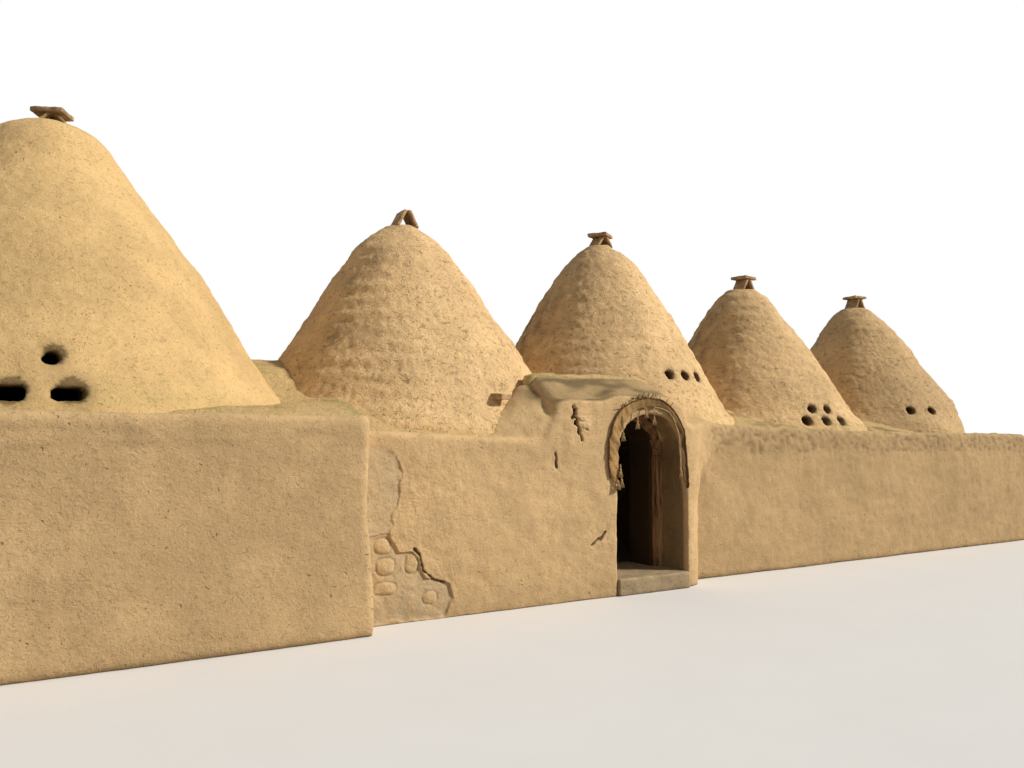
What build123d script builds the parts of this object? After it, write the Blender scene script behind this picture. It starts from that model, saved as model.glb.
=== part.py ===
"""Row of five domed mud-plastered rooms with one arched doorway.

The row runs along X, its front faces -Y and Z is up. The origin is at the middle of
the footprint, at the level of the lowest wall foot. All sizes are in millimetres.
"""

from build123d import *
from math import cos, radians, sin, sqrt
import os

# Rooms, from left to right: clear span along the row
room_1_span = 4000
room_2_span = 2950
room_3_span = 2850
room_4_span = 2650
room_5_span = 2700
big_room_depth = 4000
room_depth = 2800

# Walls
wall_height = 1860
end_wall = 700
cross_wall_1 = 650
cross_wall = 400
big_room_wall = 760
middle_wall = 450
facing = 550
middle_back_wall = 840
right_wall = 680
upstand = 300
wall_rounding = 60

# Round-headed passages through the cross walls
passage_width = 1300
passage_crown = 1720

# Domes: thickness at the foot, and height of the flat rim round the smoke hole
dome_1_thickness = 640
dome_2_thickness = 700
dome_3_thickness = 625
dome_4_thickness = 570
dome_5_thickness = 585
dome_1_top = 5120
dome_2_top = 4595
dome_3_top = 4745
dome_4_top = 4375
dome_5_top = 4315
dome_1_shoulder_radius_share = 0.25
dome_1_shoulder_drop_share = 0.08
shoulder_radius_share = 0.34
shoulder_drop_share = 0.175
dome_1_flank_bulge = 10
flank_bulge = 32
inner_bulge = 160
crown_thickness = 260
rim_radius = 220
smoke_hole_radius = 110

# Air holes through the front of the domes: height of each row above the ground and
# places of its holes, in degrees round the dome from the middle of the front
air_hole_width = 150
air_hole_height = 120
long_hole_width = 250
dome_1_high_row = 2480
dome_1_high_holes = [-1]
dome_1_low_row = 2170
dome_1_low_holes = [-8, 2]
dome_3_row = 2680
dome_3_holes = [-2, 9, 21]
dome_4_high_row = 2270
dome_4_high_holes = [-12, -1]
dome_4_low_row = 2085
dome_4_low_holes = [-18, -7, 4]
dome_5_row = 2300
dome_5_holes = [-24, -9]

# Corbelled slabs across the corners of each room
corner_slab_thickness = 150
lower_slab_share = 0.6

# Earth roof round the feet of the domes: heights of its outer edges, and the height of
# earth heaped on the line of the dome axes in each valley
left_eave = 2040
middle_eave = 1900
right_eave = 1960
earth_heaps = [440, 0, 0, 0]

# Porch, measured from the axis of the third dome
porch_centre = -1065
porch_opening = 1110
porch_crown = 2160
porch_top = 2400
porch_left_reach = 1640
porch_shoulder_run = 300
porch_right_return = 90

# Doorway in the wall behind the porch
doorway_width = 800
doorway_crown = 2060
doorway_reach = 1000
sill_height = 200
sill_nose = 40
frame_width = 100
frame_depth = 100

# Woven band round the mouth of the porch
band_width = 135
band_thickness = 24
band_overhang = 25
band_drop = 220
band_clearance = 0.3

# Slabs over the smoke holes: rise and outer spread of each leaning pair
slab_length = 260
slab_thickness = 50
slab_parting = 3
slab_rises = [120, 220, 150, 190, 190]
slab_spreads = [170, 165, 150, 150, 150]
slab_joint = 6
lid_length = 330
lid_width = 300
lid_thickness = 50
lid_turns = [-28, 0, 32, 8, -5]

# Places along the row
spans = [room_1_span, room_2_span, room_3_span, room_4_span, room_5_span]
dividers = [cross_wall_1, cross_wall, cross_wall, cross_wall]
depths = [big_room_depth, room_depth, room_depth, room_depth, room_depth]
shells = [dome_1_thickness, dome_2_thickness, dome_3_thickness, dome_4_thickness, dome_5_thickness]
inner_feet = [(span + depth) / 4 for span, depth in zip(spans, depths)]
feet = [inner_foot + shell for inner_foot, shell in zip(inner_feet, shells)]
tops = [dome_1_top, dome_2_top, dome_3_top, dome_4_top, dome_5_top]
radius_shares = [dome_1_shoulder_radius_share] + 4 * [shoulder_radius_share]
drop_shares = [dome_1_shoulder_drop_share] + 4 * [shoulder_drop_share]
bulges = [dome_1_flank_bulge] + 4 * [flank_bulge]
row_length = sum(spans) + sum(dividers) + 2 * end_wall
left_end = -row_length / 2
right_end = row_length / 2
room_left = []
room_right = []
edge = left_end + end_wall
for span, divider in zip(spans, dividers + [0]):
    room_left.append(edge)
    room_right.append(edge + span)
    edge += span + divider
axes = [(left + right) / 2 for left, right in zip(room_left, room_right)]

# Seams where neighbouring domes meet, and height of the earth heaped along each seam
seams = []
ridges = []
for k in range(4):
    seam = (axes[k] + feet[k] + axes[k + 1] - feet[k + 1]) / 2
    rises = []
    for j in (k, k + 1):
        rise = (tops[j] - wall_height) * (1 - drop_shares[j])
        run = feet[j] * (1 - radius_shares[j])
        rises.append((feet[j] - abs(seam - axes[j])) * rise / run)
    seams.append(seam)
    ridges.append(wall_height + min(rises) + earth_heaps[k])

# Planes of the front and back, as distances from the line of the dome axes
big_inner = big_room_depth / 2
inner = room_depth / 2
left_front = big_inner + big_room_wall
middle_face = inner + middle_wall
middle_front = middle_face + facing
middle_back = inner + middle_back_wall
right_front = inner + right_wall

# Places of the porch and the doorway
step = room_left[1]
joint_3 = (room_right[2] + room_left[3]) / 2
joint_4 = (room_right[3] + room_left[4]) / 2
porch_x = axes[2] + porch_centre
porch_radius = porch_opening / 2
porch_spring = porch_crown - porch_radius
porch_left = porch_x - porch_left_reach
porch_jamb_left = porch_x - porch_radius
porch_jamb_right = porch_x + porch_radius
porch_corner = porch_jamb_right + porch_right_return
porch_right = porch_corner + middle_front - right_front
door_left = room_left[2]
door_right = door_left + doorway_width
door_x = door_left + doorway_width / 2

os.makedirs("parts", exist_ok=True)


def save(part, name):
    """Label a finished piece and write it to its file."""
    part.label = name
    export_step(part, f"parts/{name}.step")


def section(k, height):
    """Upright plane along the row, with its origin on the axis of a dome."""
    return Plane(origin=(axes[k], 0, height), x_dir=(1, 0, 0), z_dir=(0, -1, 0))


def block(x_from, x_to, y_from, y_to, z_from=0, z_to=wall_height):
    """Plain slab of masonry between the given planes."""
    with BuildPart() as slab:
        with BuildSketch(Plane.XY.offset(z_from)):
            with Locations(((x_from + x_to) / 2, (y_from + y_to) / 2)):
                Rectangle(x_to - x_from, y_to - y_from)
        extrude(amount=z_to - z_from)
    return slab.part


def wall_section(x, outer, inner_face, eave):
    """Cross-section of an outer wall at a place along the row, with its upstand."""
    lip = outer - upstand if outer > inner_face else outer + upstand
    with BuildSketch(Plane.YZ.offset(x)) as outline:
        with BuildLine():
            Polyline(
                (inner_face, 0),
                (outer, 0),
                (outer, eave),
                (lip, eave),
                (lip, wall_height),
                (inner_face, wall_height),
                close=True,
            )
        make_face()
    return outline.sketch


def lies_at(edge, **place):
    """Whether the middle of an edge has the given coordinates."""
    middle = edge.center()
    here = {"x": middle.X, "y": middle.Y, "z": middle.Z}
    return all(abs(here[axis] - value) < 1 for axis, value in place.items())


def column(corners, z_from, z_to):
    """Upright piece on a plan with straight sides."""
    with BuildPart() as upright:
        with BuildSketch(Plane.XY.offset(z_from)):
            with BuildLine():
                Polyline(*corners, close=True)
            make_face()
        extrude(amount=z_to - z_from)
    return upright.part


def round_headed(plane, centre, width, crown, foot=0):
    """Outline of a round-headed opening on an upright plane."""
    radius = width / 2
    spring = crown - radius
    with BuildSketch(plane) as outline:
        with BuildLine():
            Polyline(
                (centre - radius, spring),
                (centre - radius, foot),
                (centre + radius, foot),
                (centre + radius, spring),
            )
            ThreePointArc((centre + radius, spring), (centre, crown), (centre - radius, spring))
        make_face()
    return outline.sketch


def barrel(centre, width, crown, y_from, y_to):
    """Space inside a round-headed opening that runs from front to back."""
    with BuildPart() as space:
        extrude(round_headed(Plane.XZ.offset(-y_to), centre, width, crown), amount=y_to - y_from)
    return space.part


def porch_outline(plane, foot):
    """Front outline of the raised porch above a given height."""
    shoulder_end = porch_left + porch_shoulder_run
    shoulder_middle = porch_left + porch_shoulder_run / 2
    round_start = porch_corner - (porch_top - right_eave)
    with BuildSketch(plane) as outline:
        with BuildLine():
            Line((porch_left, foot), (porch_left, middle_eave))
            Bezier(
                (porch_left, middle_eave),
                (shoulder_middle, middle_eave),
                (shoulder_middle, porch_top),
                (shoulder_end, porch_top),
            )
            Line((shoulder_end, porch_top), (round_start, porch_top))
            TangentArc((round_start, porch_top), (porch_corner, right_eave), tangent=(1, 0))
            Polyline((porch_corner, right_eave), (porch_corner, foot), (porch_left, foot))
        make_face()
    return outline.sketch


def porch_return(z_from, z_to):
    """Rounded corner where the right side of the porch turns back to the wall."""
    with BuildPart() as corner:
        with BuildSketch(Plane.XY.offset(z_from)):
            with BuildLine():
                start = (porch_corner - wall_rounding, -middle_front)
                front = Line(start, (porch_corner, -middle_front))
                turn = TangentArc(front @ 1, (porch_right, -right_front), tangent=(1, 0))
                Polyline(turn @ 1, (porch_right, -middle_face), (start[0], -middle_face), start)
            make_face()
        extrude(amount=z_to - z_from)
    return corner.part


def outer_dome(k):
    """Solid of the outside of a dome, from its foot to the rim of the smoke hole."""
    rise = tops[k] - wall_height
    shoulder = (feet[k] * radius_shares[k], rise * (1 - drop_shares[k]))
    with BuildPart() as dome:
        with BuildSketch(section(k, wall_height)):
            with BuildLine():
                flank = SagittaArc((feet[k], 0), shoulder, -bulges[k])
                TangentArc(flank @ 1, (rim_radius, rise), tangent=flank % 1)
                Polyline((rim_radius, rise), (0, rise), (0, 0), (feet[k], 0))
            make_face()
        revolve(axis=Axis((axes[k], 0, 0), (0, 0, 1)))
        if k > 0:
            split(bisect_by=Plane.YZ.offset(seams[k - 1]), keep=Keep.TOP)
        if k < 4:
            split(bisect_by=Plane.YZ.offset(seams[k]), keep=Keep.BOTTOM)
    return dome.part


porch_space = barrel(porch_x, porch_opening, porch_crown, -middle_front, -middle_face)
doorway_space = barrel(door_x, doorway_width, doorway_crown, -middle_face, -middle_face + doorway_reach)
outsides = [outer_dome(k) for k in range(5)]

# Outer walls along the row: full thickness up to the feet of the domes, and above that
# a narrower upstand that holds the earth roof
for name, x_from, x_to, outer, inner_face, eave, domes in (
    ("front_wall_1", room_left[0], step, -left_front, -big_inner, left_eave, (0, 1)),
    ("back_wall_1", room_left[0], step, left_front, big_inner, left_eave, (0, 1)),
    ("back_wall_2", step, joint_3, middle_back, inner, middle_eave, (1, 2, 3)),
    ("back_wall_3", joint_3, room_right[4], right_front, inner, right_eave, (3, 4)),
    ("facing_wall", step, porch_left, -middle_front, -middle_face, middle_eave, (1,)),
    ("front_wall_4", joint_3, joint_4, -right_front, -inner, right_eave, (3, 4)),
    ("front_wall_5", joint_4, room_right[4], -right_front, -inner, right_eave, (4,)),
):
    with BuildPart() as wall:
        extrude(wall_section(x_from, outer, inner_face, eave), amount=x_to - x_from)
        rounded = [edge for edge in wall.edges() if lies_at(edge, y=outer, z=eave)]
        if name in ("front_wall_1", "back_wall_1"):
            rounded += [edge for edge in wall.edges() if lies_at(edge, x=step, y=outer)]
            rounded += [edge for edge in wall.edges() if lies_at(edge, x=step, z=eave)]
        fillet(rounded, radius=wall_rounding)
        for k in domes:
            add(outsides[k], mode=Mode.SUBTRACT)
    save(wall.part, name)

# End walls, which carry the upstand round the corners of the house
for name, x_outer, x_inner, half_depth, eave, k in (
    ("end_wall_left", left_end, room_left[0], left_front, left_eave, 0),
    ("end_wall_right", right_end, room_right[4], right_front, right_eave, 4),
):
    x_low, x_high = sorted((x_outer, x_inner))
    x_lip = x_outer + upstand if x_outer < x_inner else x_outer - upstand
    with BuildPart() as wall:
        add(block(x_low, x_high, -half_depth, half_depth, 0, eave))
        lip = half_depth - upstand
        add(block(*sorted((x_lip, x_inner)), -lip, lip, wall_height, eave), mode=Mode.SUBTRACT)
        rounded = [edge for edge in wall.edges() if lies_at(edge, x=x_outer, z=eave)]
        for side in (-1, 1):
            rounded += [edge for edge in wall.edges() if lies_at(edge, x=x_outer, y=side * half_depth)]
            rounded += [edge for edge in wall.edges() if lies_at(edge, y=side * half_depth, z=eave)]
        fillet(rounded, radius=wall_rounding)
        add(outsides[k], mode=Mode.SUBTRACT)
    save(wall.part, name)

# Front walls on both sides of the doorway
with BuildPart() as front_wall_2:
    add(block(step, door_x, -middle_face, -inner))
    add(doorway_space, mode=Mode.SUBTRACT)
save(front_wall_2.part, "front_wall_2")

with BuildPart() as front_wall_3:
    extrude(wall_section(porch_right, -right_front, -inner, right_eave), amount=joint_3 - porch_right)
    rounded = [edge for edge in front_wall_3.edges() if lies_at(edge, y=-right_front, z=right_eave)]
    fillet(rounded, radius=wall_rounding)
    add(block(door_x, porch_right, -middle_face, -inner))
    add(doorway_space, mode=Mode.SUBTRACT)
    add(outsides[2], mode=Mode.SUBTRACT)
save(front_wall_3.part, "front_wall_3")

# Cross walls with round-headed passages
for k in range(4):
    with BuildPart() as cross:
        add(block(room_right[k], room_left[k + 1], -depths[k] / 2, depths[k] / 2))
        passage = round_headed(Plane.YZ.offset(room_right[k]), 0, passage_width, passage_crown)
        extrude(passage, amount=dividers[k], mode=Mode.SUBTRACT)
    save(cross.part, f"cross_wall_{k + 1}")

# Porch piers and the arched head that stands on them
left_pier = block(porch_left, porch_jamb_left, -middle_front, -middle_face, 0, porch_spring)
save(left_pier, "porch_left_pier")

with BuildPart() as right_pier:
    add(block(porch_jamb_right, porch_corner, -middle_front, -middle_face, 0, porch_spring))
    add(porch_return(0, porch_spring))
save(right_pier.part, "porch_right_pier")

with BuildPart() as porch_arch:
    extrude(porch_outline(Plane.XZ.offset(middle_face), porch_spring), amount=facing)
    top_edges = [edge for edge in porch_arch.edges() if lies_at(edge, y=-middle_front, z=porch_top)]
    fillet(top_edges, radius=wall_rounding)
    add(porch_return(porch_spring, right_eave))
    add(porch_space, mode=Mode.SUBTRACT)
    add(outsides[1], mode=Mode.SUBTRACT)
    add(outsides[2], mode=Mode.SUBTRACT)
save(porch_arch.part, "porch_arch")

# Sill under the porch and the doorway
with BuildPart() as door_sill:
    add(block(porch_jamb_left, porch_jamb_right, -middle_front - sill_nose, -middle_face, 0, sill_height))
    add(block(door_left, door_right, -middle_face, -inner, 0, sill_height))
save(door_sill.part, "door_sill")

# Wooden frame at the back of the porch: two posts and an arched head
with BuildPart() as door_frame_posts:
    for side in (-1, 1):
        with BuildSketch(Plane.XY.offset(sill_height)):
            post_x = porch_x + side * (porch_radius - frame_width / 2)
            with Locations((post_x, -middle_face - frame_depth / 2)):
                Rectangle(frame_width, frame_depth)
        extrude(amount=porch_spring - sill_height)
save(door_frame_posts.part, "door_frame_posts")

with BuildPart() as door_frame_arch:
    with BuildSketch(Plane.XZ.offset(middle_face)):
        with Locations((porch_x, porch_spring)):
            Circle(porch_radius)
            Circle(porch_radius - frame_width, mode=Mode.SUBTRACT)
            Rectangle(porch_opening, porch_radius, align=(Align.CENTER, Align.MAX), mode=Mode.SUBTRACT)
    extrude(amount=frame_depth)
save(door_frame_arch.part, "door_frame_arch")

# Woven band on the face of the porch, round the mouth of the arch
with BuildPart() as door_band:
    back = Plane.XZ.offset(middle_front + band_clearance)
    mouth = porch_opening - 2 * band_overhang
    mouth_crown = porch_crown - band_overhang
    band_foot = porch_spring - band_drop
    band = round_headed(back, porch_x, mouth + 2 * band_width, mouth_crown + band_width, band_foot)
    extrude(band, amount=band_thickness)
    hollow = round_headed(back, porch_x, mouth, mouth_crown)
    extrude(hollow, amount=band_thickness, mode=Mode.SUBTRACT)
save(door_band.part, "door_band")

# Corbelled slabs across the corners of the rooms, two courses each
for k in range(5):
    half_span = spans[k] / 2
    half_depth = depths[k] / 2
    reach = half_span + half_depth - sqrt(2) * inner_feet[k]
    with BuildPart() as corner_slabs:
        for side in (-1, 1):
            for end in (-1, 1):
                corner_x = axes[k] + side * half_span
                corner_y = end * half_depth
                if corner_x == door_left and end < 0:
                    continue
                for leg, course in ((reach, 1), (reach * lower_slab_share, 2)):
                    corners = [
                        (corner_x, corner_y),
                        (corner_x - side * leg, corner_y),
                        (corner_x, corner_y - end * leg),
                    ]
                    underside = wall_height - course * corner_slab_thickness
                    add(column(corners, underside, underside + corner_slab_thickness))
    save(corner_slabs.part, f"corner_slabs_{k + 1}")


def air_hole(k, height, angle, width):
    """Space of an air hole that runs straight out through the front of a dome."""
    direction = (sin(radians(angle)), -cos(radians(angle)), 0)
    across = (cos(radians(angle)), sin(radians(angle)), 0)
    with BuildPart() as hole:
        with BuildSketch(Plane(origin=(axes[k], 0, height), x_dir=across, z_dir=direction)):
            Rectangle(width, air_hole_height)
        extrude(amount=feet[k])
    return hole.part


def dome_space(k):
    """Space under a dome, with its smoke hole."""
    rise = tops[k] - wall_height
    foot = inner_feet[k]
    with BuildPart() as space:
        with BuildSketch(section(k, wall_height)):
            with BuildLine():
                SagittaArc((foot, 0), (smoke_hole_radius, rise - crown_thickness), -inner_bulge)
                Polyline(
                    (smoke_hole_radius, rise - crown_thickness),
                    (smoke_hole_radius, rise),
                    (0, rise),
                    (0, 0),
                    (foot, 0),
                )
            make_face()
        revolve(axis=Axis((axes[k], 0, 0), (0, 0, 1)))
    return space.part


# Domes, hollow, with their smoke holes and air holes
air_holes = [[], [], [], [], []]
for k, row, places, width in (
    (0, dome_1_high_row, dome_1_high_holes, air_hole_width),
    (0, dome_1_low_row, dome_1_low_holes, long_hole_width),
    (2, dome_3_row, dome_3_holes, air_hole_width),
    (3, dome_4_high_row, dome_4_high_holes, air_hole_width),
    (3, dome_4_low_row, dome_4_low_holes, air_hole_width),
    (4, dome_5_row, dome_5_holes, air_hole_width),
):
    air_holes[k] += [air_hole(k, row, angle, width) for angle in places]

for k in range(5):
    with BuildPart() as dome:
        add(outsides[k])
        add(dome_space(k), mode=Mode.SUBTRACT)
        for hole in air_holes[k]:
            add(hole, mode=Mode.SUBTRACT)
        if k == 2:
            add(porch_space, mode=Mode.SUBTRACT)
            add(doorway_space, mode=Mode.SUBTRACT)
    save(dome.part, f"dome_{k + 1}")


def roof_half(x_from, x_to, edge, eave, ridge):
    """Earth roof that slopes from an outer edge up to the line of the dome axes."""
    with BuildPart() as slope:
        with BuildSketch(Plane.YZ.offset(x_from)):
            with BuildLine():
                Polyline((edge, wall_height), (edge, eave), (0, ridge), (0, wall_height), close=True)
            make_face()
        extrude(amount=x_to - x_from)
    return slope.part


# Earth roof in the valleys between the domes: each stretch of it has the outer edge
# and the eave of the wall under it
front_stretches = [
    (0, axes[0], step, upstand - left_front, left_eave),
    (0, step, axes[1], upstand - middle_front, middle_eave),
    (1, axes[1], porch_right, upstand - middle_front, middle_eave),
    (2, porch_right, axes[3], upstand - right_front, right_eave),
    (3, axes[3], axes[4], upstand - right_front, right_eave),
]
back_stretches = [
    (0, axes[0], step, left_front - upstand, left_eave),
    (0, step, axes[1], middle_back - upstand, middle_eave),
    (1, axes[1], axes[2], middle_back - upstand, middle_eave),
    (2, axes[2], joint_3, middle_back - upstand, middle_eave),
    (2, joint_3, axes[3], right_front - upstand, right_eave),
    (3, axes[3], axes[4], right_front - upstand, right_eave),
]
for k in range(4):
    with BuildPart() as valley_fill:
        for valley, x_from, x_to, edge, eave in front_stretches + back_stretches:
            if valley == k:
                add(roof_half(x_from, x_to, edge, eave, ridges[k]))
        if k == 1:
            extrude(porch_outline(Plane.XZ, wall_height), amount=middle_face)
            add(block(porch_left, porch_right, -left_front, -middle_face, 0, tops[2]), mode=Mode.SUBTRACT)
            add(doorway_space, mode=Mode.SUBTRACT)
        add(outsides[k], mode=Mode.SUBTRACT)
        add(outsides[k + 1], mode=Mode.SUBTRACT)
        for hole in air_holes[k] + air_holes[k + 1]:
            add(hole, mode=Mode.SUBTRACT)
    save(valley_fill.part, f"valley_fill_{k + 1}")

# Earth roof at the two ends of the row
with BuildPart() as roof_ends:
    left_lip = left_front - upstand
    right_lip = right_front - upstand
    add(block(left_end + upstand, axes[0], -left_lip, left_lip, wall_height, left_eave))
    add(block(axes[4], right_end - upstand, -right_lip, right_lip, wall_height, right_eave))
    add(outsides[0], mode=Mode.SUBTRACT)
    add(outsides[4], mode=Mode.SUBTRACT)
    for hole in air_holes[0] + air_holes[4]:
        add(hole, mode=Mode.SUBTRACT)
save(roof_ends.part, "roof_ends")

# Leaning slabs over the smoke holes; on the second dome the left side is two narrow ones
for k in range(5):
    rise = slab_rises[k]
    spread = slab_spreads[k]
    with BuildPart() as smoke_slabs:
        for side in (-1, 1):
            with BuildSketch(section(k, tops[k])):
                with BuildLine():
                    Polyline(
                        (side * spread, 0),
                        (side * (spread - slab_thickness), 0),
                        (side * slab_parting, rise),
                        (side * (slab_parting + slab_thickness), rise),
                        close=True,
                    )
                make_face()
            extrude(amount=slab_length / 2, both=True)
        if k == 1:
            joint = slab_joint / 2
            left_side = (axes[k] - spread, axes[k] - slab_parting)
            add(block(*left_side, -joint, joint, tops[k], tops[k] + rise), mode=Mode.SUBTRACT)
    save(smoke_slabs.part, f"smoke_slabs_{k + 1}")

# Flat slabs on four of the pairs
with BuildPart() as smoke_lids:
    for k in (0, 2, 3, 4):
        with BuildSketch(Plane.XY.offset(tops[k] + slab_rises[k])):
            with Locations((axes[k], 0)):
                Rectangle(lid_length, lid_width, rotation=lid_turns[k])
        extrude(amount=lid_thickness)
save(smoke_lids.part, "smoke_lids")
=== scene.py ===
import math
import random

import bmesh
import bpy
import numpy as np
from mathutils import Matrix, Vector, noise
from mathutils.bvhtree import BVHTree


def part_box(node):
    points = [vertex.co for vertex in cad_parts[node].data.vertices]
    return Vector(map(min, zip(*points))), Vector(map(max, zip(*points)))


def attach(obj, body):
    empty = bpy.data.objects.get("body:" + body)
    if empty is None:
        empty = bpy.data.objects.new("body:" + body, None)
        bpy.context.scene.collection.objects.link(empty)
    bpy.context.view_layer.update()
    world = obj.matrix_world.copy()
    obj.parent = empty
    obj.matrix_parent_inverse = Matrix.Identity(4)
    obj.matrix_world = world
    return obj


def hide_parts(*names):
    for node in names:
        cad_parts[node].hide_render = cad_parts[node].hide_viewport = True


bl_info = {
    "name": "Beehive house row",
    "version": (1, 0, 0),
    "blender": (4, 5, 0),
    "location": "View3D > Sidebar > House",
    "description": "Dresses the row of domed mud houses over its solid frame",
    "category": "Object",
}

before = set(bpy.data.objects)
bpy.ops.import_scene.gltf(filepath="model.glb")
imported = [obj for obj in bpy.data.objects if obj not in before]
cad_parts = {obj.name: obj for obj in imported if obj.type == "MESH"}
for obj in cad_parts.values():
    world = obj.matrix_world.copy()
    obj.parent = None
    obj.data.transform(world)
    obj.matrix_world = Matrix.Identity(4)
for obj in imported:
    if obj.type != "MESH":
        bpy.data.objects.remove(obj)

AXES = [sum(corner[0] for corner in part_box(f"smoke_slabs_{k}")) / 2 for k in range(1, 6)]
TOPS = [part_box(f"dome_{k}")[1][2] for k in range(1, 6)]
PORCH_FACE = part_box("porch_arch")[0][1]

# The camera of the photo: focal length and picture width in pixels, place in metres, and
# turn from the row's axis, up and sideways in degrees
FOCAL_PX = 830.0
PICTURE_WIDTH_PX = 1024.0
CAMERA_PLACE = (-6.925, -10.02, 1.90)
CAMERA_TURN = (58.0, 3.29, 0.41)

# Direction on the ground that runs level across the photo
ACROSS_PHOTO = np.array([0.848, -0.530])

# Height where each dome meets the roof, how far its foot spreads there, how much the far
# domes are shaded, and how much painted shade darkens the mouth of the room behind the doorway
EAVES = (2.04, 1.94, 1.94, 1.94, 1.94)
FOOT_SPREAD = 0.075
FAR_SHADES = (0.0, 0.0, 0.0, 0.07, 0.20)
MOUTH_PAINTED_SHADE = 0.97

# Jambs of the doorway, and half length, half depth and height of the rooms
LEFT_JAMB = -0.80
RIGHT_JAMB = 0.46
ROOMS = (8.8, 1.43, 1.9)

# Spacing of the mesh over the frame posts, the arch of the frame and the sill
POST_MESH = 0.0081
ARCH_MESH = 0.0091
SILL_MESH = 0.0171

# Rows and columns of the mesh of the woven band
BAND_ROWS = 260
BAND_COLUMNS = 14

# Air holes: dome, degrees round it from the middle of the front, height, half width
AIR_HOLES = [
    (0, -1, 2.48, 0.10),
    (0, -8, 2.17, 0.13),
    (0, 2, 2.17, 0.13),
    (2, -2, 2.68, 0.08),
    (2, 9, 2.68, 0.08),
    (2, 21, 2.68, 0.08),
    (3, -12, 2.27, 0.08),
    (3, -1, 2.27, 0.08),
    (3, -18, 2.085, 0.08),
    (3, -7, 2.085, 0.08),
    (3, 4, 2.085, 0.08),
    (4, -24, 2.30, 0.08),
    (4, -9, 2.30, 0.08),
]

# Outline of the fallen plaster left of the doorway, as places along and up the wall
FALLEN_PLASTER = [
    (-3.96, 1.76), (-3.60, 1.72), (-3.46, 1.52), (-3.49, 1.22), (-3.555, 1.00), (-3.57, 0.93),
    (-3.55, 0.80), (-3.47, 0.69), (-3.31, 0.71), (-3.265, 0.66), (-3.22, 0.52), (-3.175, 0.42),
    (-3.10, 0.41), (-2.99, 0.37), (-2.89, 0.35), (-2.84, 0.20), (-2.95, 0.02), (-3.96, 0.02),
]

# Rounded wall stones that show there: place along the wall, height, half width, half height
WALL_STONES = [
    (-3.615, 0.765, 0.070, 0.075),
    (-3.595, 0.565, 0.085, 0.082),
    (-3.320, 0.575, 0.070, 0.095),
    (-3.600, 0.350, 0.105, 0.062),
    (-3.110, 0.220, 0.080, 0.062),
    (-3.790, 0.670, 0.060, 0.070),
]

# Open cracks in the plaster: points along and up the wall, half width, depth
WALL_CRACKS = [
    ([(-1.345, 2.205), (-1.315, 2.13), (-1.33, 2.085), (-1.285, 2.05), (-1.30, 2.00),
      (-1.255, 1.955), (-1.26, 1.90), (-1.225, 1.85), (-1.215, 1.80)], 0.012, 0.050),
    ([(-1.585, 1.665), (-1.565, 1.61), (-1.575, 1.555), (-1.56, 1.50)], 0.009, 0.022),
    ([(-3.30, 0.72), (-3.24, 0.66), (-3.20, 0.50), (-3.08, 0.40), (-2.95, 0.36)], 0.008, 0.020),
    ([(-1.07, 0.61), (-0.98, 0.68), (-0.94, 0.67), (-0.87, 0.75)], 0.010, 0.020),
]

# Holes that widen the crack: place along the wall, height, half width, half height
CRACK_HOLES = [
    (-1.315, 2.135, 0.024, 0.050),
    (-1.300, 2.010, 0.034, 0.030),
    (-1.262, 1.905, 0.026, 0.040),
    (-1.345, 2.060, 0.018, 0.022),
    (-1.150, 1.930, 0.020, 0.014),
]

# Bare bricks at the edge of the crack, placed in the same way
CRACK_BRICKS = [(-1.205, 2.055, 0.052, 0.024), (-1.165, 1.975, 0.058, 0.026)]

# Outline of the repaired plaster above the fallen part
REPAIRED_PLASTER = [
    (-3.96, 1.78), (-3.60, 1.74), (-3.45, 1.53), (-3.47, 1.22), (-3.535, 1.02), (-3.57, 0.88),
    (-3.96, 0.85),
]

# Outline of the woven band as seen from the front: outer edge, then inner edge,
# each from its left foot over the arch to its right end
BAND_OUTER = [
    (-0.815, 1.37), (-0.845, 1.55), (-0.845, 1.74), (-0.810, 1.92), (-0.736, 2.09), (-0.630, 2.20),
    (-0.460, 2.285), (-0.260, 2.32), (-0.065, 2.305), (0.075, 2.25), (0.190, 2.165), (0.290, 2.03),
    (0.345, 1.88), (0.370, 1.72), (0.385, 1.56), (0.405, 1.38), (0.405, 1.22),
]
BAND_INNER = [
    (-0.715, 1.29), (-0.700, 1.50), (-0.702, 1.66), (-0.690, 1.86), (-0.615, 2.01), (-0.510, 2.115),
    (-0.370, 2.185), (-0.225, 2.205), (-0.066, 2.20), (0.050, 2.165), (0.130, 2.09), (0.205, 1.975),
    (0.250, 1.84), (0.275, 1.66), (0.300, 1.50), (0.335, 1.36), (0.365, 1.24),
]

# Tassels: place along the wall, height of the knot that ties them, length of their cord
TASSELS = [
    (-0.645, 2.100, 0.215), (-0.430, 2.160, 0.130), (-0.177, 2.200, 0.120), (-0.690, 1.530, 0.065),
    (-0.730, 1.350, 0.030), (-0.675, 1.400, 0.055), (0.270, 1.440, 0.015), (-0.300, 2.200, 0.040),
]

# Cream braid along the right inner edge of the band
BRAID = [
    (-0.177, 2.205), (-0.06, 2.195), (0.045, 2.165), (0.125, 2.095), (0.195, 1.985), (0.240, 1.86),
    (0.262, 1.72), (0.272, 1.58), (0.270, 1.44),
]

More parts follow.
